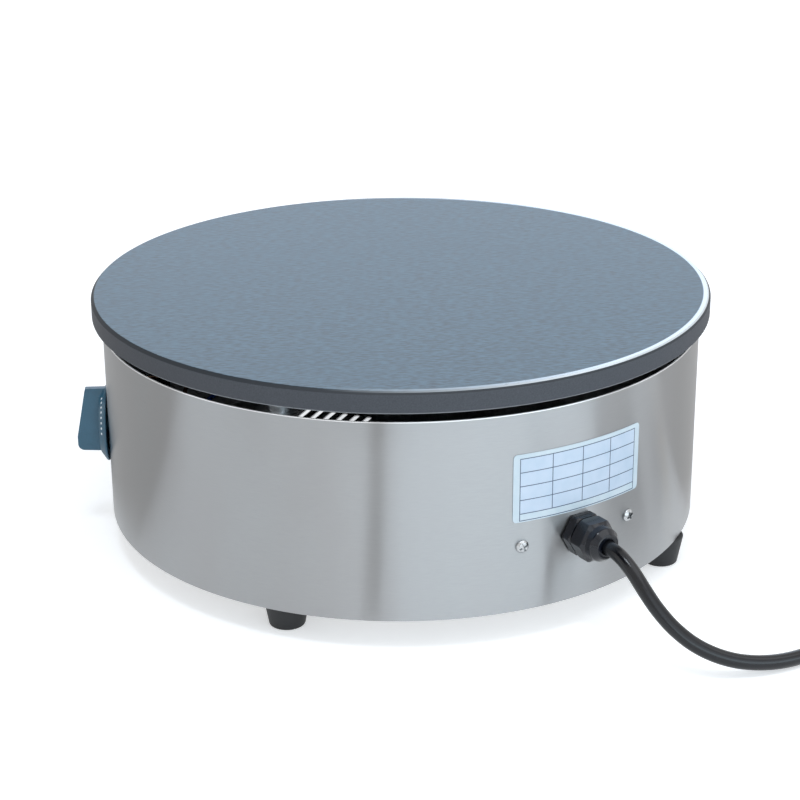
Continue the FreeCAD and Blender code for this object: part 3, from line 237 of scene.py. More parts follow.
def printed_label(width_mm, height_mm):
    """Polyester film, printed with a ruled table and left blank. The print is satin, with a faint blue cast.
    The piece's own UV map is in millimetres from the label's lower left corner."""
    material, tree, shader = new_material("printed_polyester_film", {"IOR": 1.57, "Coat Weight": 0.25,
                                                                   "Coat Roughness": 0.18})
    line_mm = 0.55
    frame_left = 4.4
    frame_right = width_mm - 4.3
    frame_top = height_mm - 2.9
    frame_low = 0.9
    column_mm = (frame_right - frame_left) / 4
    row_mm = 8.7
    last_row = frame_top - 4 * row_mm
    where = add(tree, "ShaderNodeTexCoord")
    split = add(tree, "ShaderNodeSeparateXYZ", {0: where.outputs["UV"]})
    u, v = split.outputs[0], split.outputs[1]

    def inside(value, low, high):
        middle, half = (low + high) / 2, (high - low) / 2 + line_mm / 2
        return add(tree, "ShaderNodeMath", {0: value, 1: middle, 2: half}, operation="COMPARE").outputs[0]

    def both(a, b):
        return arithmetic(tree, "MULTIPLY", a, b)

    across = inside(u, frame_left, frame_right)
    cells = inside(v, last_row, frame_top)
    whole = inside(v, frame_low, frame_top)
    lines = []
    for k in range(5):
        at = frame_left + k * column_mm
        tall = whole if k in (0, 4) else cells
        lines.append(both(inside(u, at, at), tall))
    for k in range(5):
        at = frame_top - k * row_mm
        lines.append(both(inside(v, at, at), across))
    lines.append(both(inside(v, frame_low, frame_low), across))
    ink = lines[0]
    for line in lines[1:]:
        ink = arithmetic(tree, "MAXIMUM", ink, line)
    film = pattern(tree, 9.0, detail=2.0)
    paper = blended(tree, between(tree, film, 0, 1), "#c6d5de", "#d1dce3")
    cell = blended(tree, between(tree, film, 0, 1), "#bfcfe0", "#cad6e6")
    ground = blended(tree, both(across, cells), paper, cell)
    tree.links.new(blended(tree, ink, ground, "#46566e"), shader.inputs["Base Color"])
    tree.links.new(between(tree, film, 0.32, 0.42), shader.inputs["Roughness"])
    tree.links.new(relief(tree, film, 0.05), shader.inputs["Normal"])
    return material


def make_materials():
    """Every finish, by the record's slot."""
    steel = {"Metallic": 1.0}
    moulded = {"IOR": 1.53}
    silicone = {"rough": (0.45, 0.58), "IOR": 1.43}
    lens = {"rough": (0.06, 0.12), "IOR": 1.585, "Transmission_Weight": 0.45}
    return {
        "enamelled_iron": enamelled_iron(),
        "drum_steel": brushed_drum(),
        # Cold-rolled stainless sheet with its mill finish: straight faint roll lines, soft gloss
        "inner_steel": grained("rolled_stainless_sheet", "#a3a4a6", "#bcbdbe", 0.6, 0.004, (0.3, 0.42),
                               (30, 1, 1), **steel),
        # Steel dipped in aluminium: pale, matt and slightly mottled
        "aluminised_steel": grained("aluminised_steel_sheet", "#aeb0b2", "#c6c7c8", 2.5, 0.01, (0.42, 0.56),
                                    **steel),
        # Zinc plate, passivated clear: bluish white, soft gloss
        "zinc_steel": grained("zinc_plated_steel", "#b0b5ba", "#cdd1d4", 1.2, 0.006, (0.28, 0.4), **steel),
        # Cold-headed stainless, tumbled bright
        "stainless_screws": grained("tumbled_stainless", "#a9abad", "#c6c8c9", 0.8, 0.004, (0.2, 0.3),
                                    **steel),
        # Nickel alloy tube that has been red hot: dark oxide, matt
        "heater_sheath": grained("oxidised_nickel_alloy", "#4a443e", "#6d655c", 2.0, 0.012, (0.5, 0.68),
                                 **steel),
        # Needled mineral fibre: matted threads about half a millimetre wide
        "mineral_wool": grained("needled_mineral_fibre", "#a39c88", "#d2ccba", 0.9, 0.35, (0.9, 1.0),
                                (3, 3, 1), Sheen_Weight=0.3),
        # Moulded rubber: matt, with a spark-eroded mould's fine skin
        "foot_rubber": grained("moulded_black_rubber", "#0d0e10", "#191a1d", 0.5, 0.015, (0.5, 0.64),
                               IOR=1.52),
        # Thermoset moulding in dark blue, satin from a lightly etched mould
        "knob_plastic": grained("moulded_blue_thermoset", "#27556b", "#326178", 0.45, 0.006, (0.3, 0.4),
                                IOR=1.54),
        # Injection-moulded polyamide: black, glossy where the mould is polished
        "gland_plastic": grained("moulded_black_polyamide", "#05070d", "#0c111c", 1.4, 0.005, (0.1, 0.17),
                                 IOR=1.47),
        # Soft nitrile sealing rubber, matt
        "gland_rubber": grained("nitrile_rubber", "#151515", "#202021", 0.6, 0.01, (0.6, 0.72), IOR=1.52),
        # Filled phenolic: brown-black, slightly speckled
        "phenolic": grained("filled_phenolic", "#2f2019", "#463227", 0.8, 0.006, (0.38, 0.5), IOR=1.6),
        # Glass-filled polyamide, off-white and satin
        "terminal_plastic": grained("white_polyamide", "#d6d3c8", "#e6e3da", 0.8, 0.006, (0.4, 0.5),
                                    **moulded),
        # Turned brass with fine tool lines
        "brass_parts": grained("turned_brass", "#c3a055", "#dcbd76", 0.5, 0.004, (0.22, 0.34), **steel),
        # Glazed steatite: warm white, glossy, with a few pinholes
        "ceramic": grained("glazed_steatite", "#ddd9cc", "#efece2", 1.5, 0.006, (0.12, 0.2), IOR=1.55),
        # Drawn copper tube, slightly tarnished
        "copper_tube": grained("drawn_copper", "#a96f4e", "#cf9471", 1.0, 0.004, (0.25, 0.4), **steel),
        # Blued spring strip
        "spring_steel": grained("blued_spring_steel", "#3c4148", "#565c66", 0.6, 0.003, (0.3, 0.4), **steel),
        # Extruded cord jacket: smooth, glossy, with faint die lines
        "cord_rubber": grained("extruded_black_jacket", "#07080b", "#0e1016", 3.0, 0.01, (0.18, 0.25),
                               IOR=1.46),
        # Moulded plug, satin black
        "plug_plastic": grained("moulded_black_vinyl", "#121315", "#1e1f22", 0.6, 0.01, (0.38, 0.5),
                                **moulded),
        # Woven-look strap, matt black
        "tie_plastic": grained("black_nylon_strap", "#161617", "#2a2a2c", 0.7, 0.05, (0.6, 0.75), **moulded),
        # Silicone sleeves, soft and matt
        "wire_brown": grained("brown_silicone", "#5b3419", "#70431f", 1.0, 0.006, **silicone),
        "wire_blue": grained("blue_silicone", "#1b418b", "#2450a3", 1.0, 0.006, **silicone),
        "wire_earth": grained("green_yellow_silicone", "#4d8a1c", "#9aa51f", 5.0, 0.006, **silicone),
        # Clear coloured polycarbonate lenses with a fine inner texture
        "lens_green": grained("green_polycarbonate", "#127a33", "#1d9c45", 1.2, 0.05, **lens),
        "lens_amber": grained("amber_polycarbonate", "#c86f0c", "#e89018", 1.2, 0.05, **lens),
        # Pad-printed white enamel
        "print_white": grained("pad_printed_white", "#dfe6ea", "#f0f4f6", 0.4, 0.004, (0.4, 0.5), IOR=1.5),
    }


# Camera, fitted to the photograph


def make_camera():
    """Its place, its turn and its focal length were fitted to the edges of the plate and the drum."""
    data = bpy.data.cameras.new("photo_camera")
    data.sensor_width = 36.0
    data.lens = 91.52
    camera = bpy.data.objects.new("photo_camera", data)
    right = Vector((0.05392, 0.99853, -0.00580))
    up = Vector((-0.36570, 0.02515, 0.93039))
    back = right.cross(up)
    turn = Matrix((right, up, back)).transposed().to_4x4()
    spot = Vector((1.25879, -0.06597, 0.57996))
    camera.matrix_world = Matrix.Translation(spot) @ turn
    bpy.context.scene.collection.objects.link(camera)
    bpy.context.scene.camera = camera


make_camera()
finish = make_materials()


# Meshes

sharp_angle = 32


def rounded(corners, steps=4):
    """An outline through corners of (radius, height). A third number rounds that corner by an arc."""
    points = []
    for k, corner in enumerate(corners):
        here = Vector(corner[:2])
        if len(corner) < 3:
            points.append(here)
            continue
        a = (Vector(corners[k - 1][:2]) - here).normalized()
        b = (Vector(corners[(k + 1) % len(corners)][:2]) - here).normalized()
        half = a.angle(b) / 2
        centre = here + (a + b).normalized() * corner[2] / math.sin(half)
        reach = corner[2] / math.tan(half)
        start = here + a * reach - centre
        end = here + b * reach - centre
        turn = math.atan2(start.cross(end), start.dot(end))
        for s in range(steps + 1):
            points.append(centre + Matrix.Rotation(turn * s / steps, 2) @ start)
    return points


def turned(outline, sides, closed=False, flats=0.0):
    """A mesh turned about Z from (radius, height) points. Flats limit it to a hexagon that wide."""
    points, rings = [], []
    for r, z in outline:
        if r < 1e-9:
            rings.append([len(points)] * sides)
            points.append((0, 0, z))
            continue
        rings.append(list(range(len(points), len(points) + sides)))
        for s in range(sides):
            a = 2 * math.pi * s / sides
            reach = r
            if flats:
                reach = min(r, flats / 2 / math.cos(a % (math.pi / 3) - math.pi / 6))
            points.append((reach * math.cos(a), reach * math.sin(a), z))
    faces = []
    pairs = list(zip(rings, rings[1:]))
    if closed:
        pairs.append((rings[-1], rings[0]))
    for low, high in pairs:
        for s in range(sides):
            t = (s + 1) % sides
            face = list(dict.fromkeys((low[s], low[t], high[t], high[s])))
            if len(face) > 2:
                faces.append(face)
    mesh = bpy.data.meshes.new("turned")
    mesh.from_pydata(points, [], faces)
    outwards(mesh)
    return mesh


def outwards(mesh):
    """Turns every face of a closed mesh to point outwards."""
    work = bmesh.new()
    work.from_mesh(mesh)
    bmesh.ops.recalc_face_normals(work, faces=work.faces)
    work.to_mesh(mesh)
    work.free()


def block(size, centre, bevel, segments):
    """A box with every edge rounded."""
    work = bmesh.new()
    bmesh.ops.create_cube(work, size=1.0)
    bmesh.ops.scale(work, vec=size, verts=work.verts)
    bmesh.ops.translate(work, vec=centre, verts=work.verts)
    bmesh.ops.bevel(work, geom=work.edges[:], offset=bevel, segments=segments, profile=0.5,
                    affect="EDGES")
    mesh = bpy.data.meshes.new("block")
    work.to_mesh(mesh)
    work.free()
    return mesh


def put(name, mesh, slot, place=Matrix(), sharp=sharp_angle):
    """An object at the origin with its place in its mesh. Edges sharper than sharp degrees stay hard."""
    mesh.name = name
    mesh.transform(place)
    mesh.shade_smooth()
    mesh.set_sharp_from_angle(angle=math.radians(sharp))
    piece = bpy.data.objects.new(name, mesh)
    bpy.context.scene.collection.objects.link(piece)
    mesh.materials.clear()
    mesh.materials.append(finish[slot])
    return piece


def worked_in(piece):
    """Turns what the modifiers make into the piece's plain mesh."""
    graph = bpy.context.evaluated_depsgraph_get()
    mesh = bpy.data.meshes.new_from_object(piece.evaluated_get(graph), depsgraph=graph)
    piece.modifiers.clear()
    piece.data = mesh
    return piece


def cut(piece, meshes, operation="DIFFERENCE"):
    """Cuts closed meshes from a piece, or joins them to it."""
    tools = []
    for mesh in meshes:
        tool = bpy.data.objects.new("tool", mesh)
        bpy.context.scene.collection.objects.link(tool)
        modifier = piece.modifiers.new("cut", "BOOLEAN")
        modifier.operation = operation
        modifier.solver = "EXACT"
        modifier.object = tool
        tools.append(tool)
    worked_in(piece)
    for tool in tools:
        bpy.data.objects.remove(tool)
    piece.data.shade_smooth()
    piece.data.set_sharp_from_angle(angle=math.radians(sharp_angle))
    return piece


def evened(piece):
    """Lets the large faces set the normals, so that flats stay flat beside their rounded edges."""
    modifier = piece.modifiers.new("normals", "WEIGHTED_NORMAL")
    modifier.weight = 100
    modifier.keep_sharp = True
    return worked_in(piece)


def dressed(piece, body, slot, *nodes):
    """Puts a piece on its body, in the place of the solids that it stands for."""
    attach(piece, body)
    if nodes:
        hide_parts(*nodes)
    return piece


def rod(r, z0, z1, x=0.0, y=0.0):
    """A round rod along Z, to drill a hole with."""
    mesh = turned([(0, z0), (r, z0), (r, z1), (0, z1)], 48)
    mesh.transform(Matrix.Translation((x, y, 0)))
    return mesh


# Geometry node trees for what repeats


def new_tree(name, sizes):
    """A geometry tree with named inputs. Sizes are pairs of a name and a socket kind."""
    tree = bpy.data.node_groups.new(name, "GeometryNodeTree")
    for label, kind in sizes:
        tree.interface.new_socket(label, in_out="INPUT", socket_type="NodeSocket" + kind)
    tree.interface.new_socket("Geometry", in_out="OUTPUT", socket_type="NodeSocketGeometry")
    return tree, add(tree, "NodeGroupInput").outputs


def end_tree(tree, geometry, material):
    """Ends a geometry tree with real geometry in one material."""
    solid = add(tree, "GeometryNodeRealizeInstances", {0: geometry})
    named = add(tree, "GeometryNodeSetMaterial", {"Geometry": solid.outputs[0], "Material": material})
    add(tree, "NodeGroupOutput", {0: named.outputs[0]})
    return tree


def grown(name, tree, values, slot):
    """A plain mesh object made by a geometry tree with these input values."""
    piece = bpy.data.objects.new(name, bpy.data.meshes.new(name))
    bpy.context.scene.collection.objects.link(piece)
    modifier = piece.modifiers.new(name, "NODES")
    modifier.node_group = tree
    values = dict(values, Material=finish[slot])
    for socket in tree.interface.items_tree:
        if socket.in_out == "INPUT":
            modifier[socket.identifier] = values[socket.name]
    return worked_in(piece)


def dot_row_tree():
    """Small domes in a row along the bevel round the knob's skirt, clockwise from First."""
    tree, sizes = new_tree("dot_row", [
        ("Count", "Int"), ("First", "Float"), ("Step", "Float"), ("Radius", "Float"), ("Height", "Float"),
        ("Dot", "Float"), ("Out", "Float"), ("Up", "Float"), ("Material", "Material"),
    ])
    row = add(tree, "GeometryNodeMeshLine", {"Count": sizes["Count"]})
    index = add(tree, "GeometryNodeInputIndex").outputs[0]
    angle = arithmetic(tree, "MULTIPLY", index, sizes["Step"])
    angle = arithmetic(tree, "ADD", angle, sizes["First"])
    sine = arithmetic(tree, "SINE", angle)
    cosine = arithmetic(tree, "COSINE", angle)

    def at(reach, rise):
        x = arithmetic(tree, "MULTIPLY", sine, reach)
        y = arithmetic(tree, "MULTIPLY", cosine, reach)
        return add(tree, "ShaderNodeCombineXYZ", {0: x, 1: y, 2: rise}).outputs[0]

    placed = add(tree, "GeometryNodeSetPosition", {
        "Geometry": row.outputs[0], "Position": at(sizes["Radius"], sizes["Height"]),
    })
    outward = at(sizes["Out"], sizes["Up"])
    facing = add(tree, "FunctionNodeAlignRotationToVector", {"Vector": outward}, axis="Z")
    ball = add(tree, "GeometryNodeMeshUVSphere", {"Segments": 16, "Rings": 8, "Radius": 1.0})
    low = arithmetic(tree, "MULTIPLY", sizes["Dot"], 0.3)
    flat = add(tree, "ShaderNodeCombineXYZ", {0: sizes["Dot"], 1: sizes["Dot"], 2: low}).outputs[0]
    dots = add(tree, "GeometryNodeInstanceOnPoints", {
        "Points": placed.outputs[0], "Instance": ball.outputs[0], "Rotation": facing.outputs[0],
        "Scale": flat,
    })
    return end_tree(tree, dots.outputs[0], sizes["Material"])


def rib_tree():
    """Round ribs along a tapering boot on Z."""
    tree, sizes = new_tree("boot_ribs", [
        ("Count", "Int"), ("Start", "Float"), ("Pitch", "Float"), ("First radius", "Float"),
        ("Growth", "Float"), ("Rib", "Float"), ("Material", "Material"),
    ])
    row = add(tree, "GeometryNodeMeshLine", {"Count": sizes["Count"]})
    index = add(tree, "GeometryNodeInputIndex").outputs[0]
    risen = arithmetic(tree, "MULTIPLY", index, sizes["Pitch"])
    height = arithmetic(tree, "ADD", risen, sizes["Start"])
    grown_by = arithmetic(tree, "MULTIPLY", index, sizes["Growth"])
    radius = arithmetic(tree, "ADD", grown_by, sizes["First radius"])
    spot = add(tree, "ShaderNodeCombineXYZ", {2: height}).outputs[0]
    placed = add(tree, "GeometryNodeSetPosition", {"Geometry": row.outputs[0], "Position": spot})
    wide = add(tree, "ShaderNodeCombineXYZ", {0: radius, 1: radius, 2: 1.0}).outputs[0]
    hoop = add(tree, "GeometryNodeCurvePrimitiveCircle", {"Resolution": 64, "Radius": 1.0})
    hoops = add(tree, "GeometryNodeInstanceOnPoints", {
        "Points": placed.outputs[0], "Instance": hoop.outputs[0], "Scale": wide,
    })
    real = add(tree, "GeometryNodeRealizeInstances", {0: hoops.outputs[0]})
    section = add(tree, "GeometryNodeCurvePrimitiveCircle", {"Resolution": 12, "Radius": sizes["Rib"]})
    ribs = add(tree, "GeometryNodeCurveToMesh", {
        "Curve": real.outputs[0], "Profile Curve": section.outputs[0],
    })
    return end_tree(tree, ribs.outputs[0], sizes["Material"])


def wall_pair_tree():
    """Copies of one screw on the drum's wall, at even steps of azimuth from First."""
    tree, sizes = new_tree("screws_on_wall", [
        ("One", "Object"), ("Count", "Int"), ("First", "Float"), ("Step", "Float"), ("Reach", "Float"),
        ("Height", "Float"), ("Material", "Material"),
    ])
    row = add(tree, "GeometryNodeMeshLine", {"Count": sizes["Count"]})
    index = add(tree, "GeometryNodeInputIndex").outputs[0]
    turned_by = arithmetic(tree, "MULTIPLY", index, sizes["Step"])
    azimuth = arithmetic(tree, "ADD", turned_by, sizes["First"])
    x = arithmetic(tree, "MULTIPLY", arithmetic(tree, "SINE", azimuth), sizes["Reach"])
    y = arithmetic(tree, "MULTIPLY", arithmetic(tree, "COSINE", azimuth), sizes["Reach"])
    y = arithmetic(tree, "MULTIPLY", y, -1.0)
    spot = add(tree, "ShaderNodeCombineXYZ", {0: x, 1: y, 2: sizes["Height"]}).outputs[0]
    placed = add(tree, "GeometryNodeSetPosition", {"Geometry": row.outputs[0], "Position": spot})
    stand = add(tree, "ShaderNodeCombineXYZ", {0: math.radians(90), 2: azimuth}).outputs[0]
    facing = add(tree, "FunctionNodeEulerToRotation", {0: stand}).outputs[0]
    one = add(tree, "GeometryNodeObjectInfo", {"Object": sizes["One"]})
    copies = add(tree, "GeometryNodeInstanceOnPoints", {
        "Points": placed.outputs[0], "Instance": one.outputs["Geometry"], "Rotation": facing,
    })
    return end_tree(tree, copies.outputs[0], sizes["Material"])


# Mains cord: the route's points are the solids', then the coil's turns, then the end to the plug

cord_exit = (0.19161, 0.11063, 0.063)
cord_route = [
    (0.1963, 0.1134, 0.063),
    (0.2046, 0.1184, 0.0605),
    (0.2122, 0.1234, 0.0548),
    (0.2187, 0.1288, 0.0466),
    (0.2246, 0.1356, 0.0372),
    (0.2304, 0.1452, 0.0272),
    (0.2354, 0.1584, 0.018),
    (0.2372, 0.176, 0.0108),
    (0.2346, 0.1944, 0.0068),
    (0.2286, 0.2133, 0.005),
    (0.2169, 0.2336, 0.0046),
    (0.2096, 0.256, 0.0048),
    (0.207, 0.279, 0.00535),
    (0.207, 0.297, 0.00535),
]
plug_route = [
    (0.141, 0.363, 0.01495),
    (0.128, 0.363, 0.01495),
    (0.1142, 0.36, 0.014),
]
plug_start = (0.1012, 0.3546, 0.014)
coil_x = 0.150
coil_y = 0.306
coil_z = 5.35 * mm
coil_outer_r = 57.0 * mm
coil_pitch = 9.6 * mm
coil_turns = 4.25
turn_points = 16
tie_az = 225.0


def coil_points():
    """The coil winds in, climbs a layer and winds out again. The points stand out a little so that the
    smooth line between them keeps the turns' true radius."""
    count = int(coil_turns * turn_points)
    outside = 1 / math.cos(math.pi / turn_points)
    points = []
    for k in range(count + 1):
        turns = k / turn_points
        middle = coil_turns / 2
        r = coil_outer_r - coil_pitch * (middle - abs(turns - middle))
        r *= 1 if k in (0, count) else outside
        climb = min(1, max(0, (turns - middle) * 2 + 0.5))
        climb = climb * climb * (3 - 2 * climb)
        a = 2 * math.pi * turns
        points.append((coil_x + r * math.cos(a), coil_y + r * math.sin(a), coil_z + coil_pitch * climb))
    return points


def mains_cord():
    """The whole cord as one round curve, from the gland to the plug's boot."""
    points = [cord_exit] + cord_route + coil_points() + plug_route + [plug_start]
    curve = bpy.data.curves.new("mains_cord", "CURVE")
    curve.dimensions = "3D"
    spline = curve.splines.new("NURBS")
    spline.points.add(len(points) - 1)
    for point, place in zip(spline.points, points):
        point.co = (*place, 1.0)
    spline.order_u = 3
    spline.use_endpoint_u = True
    curve.resolution_u = 8
    curve.bevel_depth = cord_d / 2
    curve.bevel_resolution = 7
    curve.use_fill_caps = True
    curve.materials.append(finish["cord_rubber"])
    piece = bpy.data.objects.new("mains_cord", curve)
    bpy.context.scene.collection.objects.link(piece)
    return dressed(piece, "housing", "cord_rubber", "power_cord", "cord_coil", "cord_plug_end")


def plug_place():
    """Local z runs along the plug, away from the cord, and y is up."""
    end = Vector(plug_start)
    heading = end - Vector(plug_route[-1])
    turn = Matrix.Rotation(math.atan2(heading.y, heading.x) + math.radians(90), 4, "Z")
    return Matrix.Translation((end.x, end.y, plug_axis_z)) @ turn @ Matrix.Rotation(math.radians(90), 4, "X")


def plug():
    """A moulded plug: a ribbed boot, a waisted grip and a flat face that the pins stand in."""
    boot_l, body_l, width, depth = 28 * mm, 36 * mm, 38 * mm, 28 * mm
    bore_r, boot_r, root_r, sunk = 4.6 * mm, 6.5 * mm, 10.4 * mm, 4 * mm
    grip = block((width, depth, body_l), (0, 0, boot_l + body_l / 2), 4.5 * mm, 6)
    body = put("plug", grip, "plug_plastic")
    boot = turned(rounded([
        (bore_r, 0), (boot_r, 0, 0.6 * mm), (root_r, boot_l - 1 * mm), (root_r, boot_l + sunk),
        (bore_r, boot_l + sunk),
    ]), 64, closed=True)
    cut(body, [boot], "UNION")
    dip_r, dip_depth = 30 * mm, 4 * mm
    dips = []
    for side in (-1, 1):
        dip = bpy.data.meshes.new("dip")
        dip_x = side * (width / 2 + dip_r - dip_depth)
        dip.from_pydata(*scoop(dip_x, boot_l + body_l * 0.48, dip_r, depth))
        outwards(dip)
        dips.append(dip)
    cut(body, dips)
    place = plug_place()
    body.data.transform(place)
    evened(body)
    ribs = grown("plug_boot_ribs", rib_tree(), {
        "Count": 6, "Start": 3.2 * mm, "Pitch": 4 * mm, "First radius": 6.9 * mm, "Growth": 0.57 * mm,
        "Rib": 0.75 * mm,
    }, "plug_plastic")
    ribs.data.transform(place)
    ribs.data.shade_smooth()
    dressed(body, "housing", "plug_plastic", "plug_body")
    dressed(ribs, "housing", "plug_plastic")
    return body, ribs


def scoop(x, z, r, depth):
    """A rod across the plug, along its local y, that hollows a side for the fingers."""
    sides = 64
    points = []
    for y in (-depth, depth):
        for s in range(sides):
            a = 2 * math.pi * s / sides
            points.append((x + r * math.cos(a), y, z + r * math.sin(a)))
    faces = [tuple(range(sides)), tuple(range(sides, 2 * sides))]
    faces += [(s, (s + 1) % sides, sides + (s + 1) % sides, sides + s) for s in range(sides)]
    return points, [], faces


def coil_tie():
    """A flat strap that goes round the bundle of turns once."""
    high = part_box("cord_tie")[1]
    strap_w, strap_t = 10 * mm, 0.8 * mm
    middle_r = coil_outer_r - coil_pitch * coil_turns / 4
    half_w = coil_pitch * coil_turns / 4 + cord_d / 2 + 0.3 * mm
    top = high.z - strap_t
    bend = 3.4 * mm

    def ring(left, right, under, over, r):
        return rounded([(left, under, r), (right, under, r), (right, over, r), (left, over, r)], 8)

    near, far = middle_r - half_w, middle_r + half_w
    loop = ring(near - strap_t, far + strap_t, 0, top + strap_t, bend)
    inner = ring(near, far, strap_t, top, bend - strap_t)
    count = len(loop)
    points = [(p.x, side * strap_w / 2, p.y) for side in (-1, 1) for p in loop + inner]
    faces = []
    for k in range(count):
        n = (k + 1) % count
        faces.append((k, n, count + n, count + k))
        faces.append((2 * count + k, 2 * count + n, 3 * count + n, 3 * count + k))
        faces.append((k, n, 2 * count + n, 2 * count + k))
        faces.append((count + k, count + n, 3 * count + n, 3 * count + k))
    mesh = bpy.data.meshes.new("tie")
    mesh.from_pydata(points, [], faces)
    outwards(mesh)
    place = Matrix.Translation((coil_x, coil_y, 0)) @ Matrix.Rotation(math.radians(tie_az), 4, "Z")
    tie = put("coil_tie", mesh, "tie_plastic", place)
    return dressed(tie, "housing", "tie_plastic", "cord_tie")


# Cooking plate


def griddle():
    """The plate with its chamfer and the blind holes of its studs."""
    r = plate_high.x
    low, top = plate_low.z, plate_high.z
    low_chamfer, chamfer = 1 * mm, 2 * mm
    body = put("griddle", turned(rounded([
        (0, low), (r - low_chamfer, low, 0.3 * mm), (r, low + low_chamfer, 0.3 * mm),
        (r, top - chamfer, 0.5 * mm), (r - chamfer, top, 0.5 * mm), (0, top),
    ]), 256), "enamelled_iron")
    stud_hole_r, stud_hole_h = 4.05 * mm, 9 * mm
    clamp_hole_r, clamp_hole_h = 3.05 * mm, 8 * mm
    start = low - 1 * mm
    stud_top, clamp_top = low + stud_hole_h, low + clamp_hole_h
    holes = [rod(stud_hole_r, start, stud_top, *polar(support_circle_r, az).xy) for az in support_azs]
    holes += [rod(clamp_hole_r, start, clamp_top, *polar(clamp_circle_r, az).xy) for az in clamp_azs]
    holes.append(rod(clamp_hole_r, start, clamp_top))
    cut(body, holes)
    return dressed(evened(body), "housing", "enamelled_iron", "griddle_plate")


# Feet


def rubber_feet():
    """Tapered feet with a round boss on top, which sits inside the drum's lower edge."""
    tip_r, boss_r, bore_r, recess_r = 10.95 * mm, 9 * mm, 3.15 * mm, 6.8 * mm
    shoulder, recess_h = drum_low.z - 0.3 * mm, 13 * mm
    for name in foot_names:
        low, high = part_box(name)
        top_r = (high.x - low.x) / 2
        outline = rounded([
            (recess_r, 0, 0.5 * mm), (tip_r, 0, 1.5 * mm), (top_r, shoulder, 0.9 * mm), (boss_r, shoulder),
            (boss_r, high.z), (bore_r, high.z), (bore_r, recess_h), (recess_r, recess_h),
        ], 6)
        place = Matrix.Translation(((low.x + high.x) / 2, (low.y + high.y) / 2, 0))
        foot = put("rubber_" + name, turned(outline, 96, closed=True), "foot_rubber", place)
        dressed(evened(foot), "housing", "foot_rubber", name)


# Temperature knob, in the drum wall's own directions: y is up and z points out


def knob():
    """A pointer knob: a bevelled skirt, and a grip that narrows to its nose and is rounded at its heel."""
    skirt_r, face_r, rim, skirt_h = 25.2 * mm, 19.8 * mm, 1.2 * mm, 5.0 * mm
    half, nose_half, nose = 7 * mm, 2.2 * mm, 24.8 * mm
    foot_h, top, nose_top, tail = 0.4 * mm, 20.6 * mm, 14.4 * mm, -17.3 * mm
    crest = tail + 10.3 * mm
    fall = (top - nose_top) / (nose - crest)
    middle_h = top + fall * crest
    heel = rounded([(tail, skirt_h), (tail + 0.75 * mm, top, 4.2 * mm), (crest, top)], 6)[1:-1]
    outline = [(tail, foot_h), (tail, skirt_h), *heel, (crest, top), (0, middle_h), (nose, nose_top),
               (nose, foot_h), (0, foot_h)]
    mesh = grip_mesh(outline, half, nose_half, nose + 1 * mm)
    round_edges(mesh, 6 * mm, 1.1 * mm)
    grip = put("knob", mesh, "knob_plastic")
    skirt = turned(rounded([
        (0, 0), (skirt_r, 0, 0.3 * mm), (skirt_r, rim, 0.4 * mm), (face_r, skirt_h, 0.4 * mm), (0, skirt_h),
    ]), 192)
    cut(grip, [skirt], "UNION")
    hub_r, hollow_r, hollow_h = 5.5 * mm, 18 * mm, 3 * mm
    bore_r, bore_h = 3.05 * mm, 11.55 * mm
    start = -1 * mm
    hollow = turned([(hub_r, start), (hollow_r, start), (hollow_r, hollow_h), (hub_r, hollow_h)], 96,
                    closed=True)
    cut(grip, [hollow, rod(bore_r, start, bore_h)])
    place = on_wall(-knob_back.y, 0.0, knob_back.z)
    grip.data.transform(place)
    dressed(evened(grip), "knob", "knob_plastic", "temperature_knob")
    line_w, line_l, line_t = 1.5 * mm, 14 * mm, 0.5 * mm
    line = put("knob_pointer", block((line_w, line_l, line_t), (0, 0, 0), 0.2 * mm, 2), "print_white")
    line_at = 15.5 * mm
    tilt = Matrix.Rotation(-math.atan(fall), 4, "X")
    lay = Matrix.Translation((0, line_at, middle_h - fall * line_at)) @ tilt
    line.data.transform(place @ lay)
    dressed(line, "knob", "knob_plastic")
    bevel = math.atan2(skirt_r - face_r, skirt_h - rim)
    tree = dot_row_tree()
    for side, first in (("a", 24.7), ("b", 272.4)):
        dots = grown("knob_dots_" + side, tree, {
            "Count": 8, "First": math.radians(first), "Step": math.radians(9), "Dot": 0.85 * mm,
            "Radius": (skirt_r + face_r) / 2, "Height": (skirt_h + rim) / 2,
            "Out": math.cos(bevel), "Up": math.sin(bevel),
        }, "print_white")
        dots.data.transform(place)
        dots.data.shade_smooth()
        dressed(dots, "knob", "knob_plastic")


def grip_mesh(outline, half, nose_half, nose_at):
    """The grip's side outline, spread to both sides. Its last four points are its middle, its nose and its
    foot under the middle, and it narrows from the middle to the nose."""
    def width(y):
        return half if y <= 0 else half - (half - nose_half) * y / nose_at

    count = len(outline)
    middle, under = count - 4, count - 1
    points = [(side * width(y), y, z) for side in (-1, 1) for y, z in outline]
    tail = [*range(middle + 1), under]
    nose = list(range(middle, count))
    faces = [[base + k for k in part] for base in (0, count) for part in (tail, nose)]
    faces += [[k, (k + 1) % count, count + (k + 1) % count, count + k] for k in range(count)]
    mesh = bpy.data.meshes.new("grip")
    mesh.from_pydata(points, [], faces)
    outwards(mesh)
    return mesh


def round_edges(mesh, above, radius):
    """Rounds the sharp edges that reach higher than above."""
    work = bmesh.new()
    work.from_mesh(mesh)
    edges = [e for e in work.edges if max(v.co.z for v in e.verts) > above
             and e.calc_face_angle() > math.radians(20)]
    bmesh.ops.bevel(work, geom=edges, offset=radius, segments=5, profile=0.5, affect="EDGES",
                    clamp_overlap=True)
    work.to_mesh(mesh)
    work.free()


# Pilot lights beside the knob


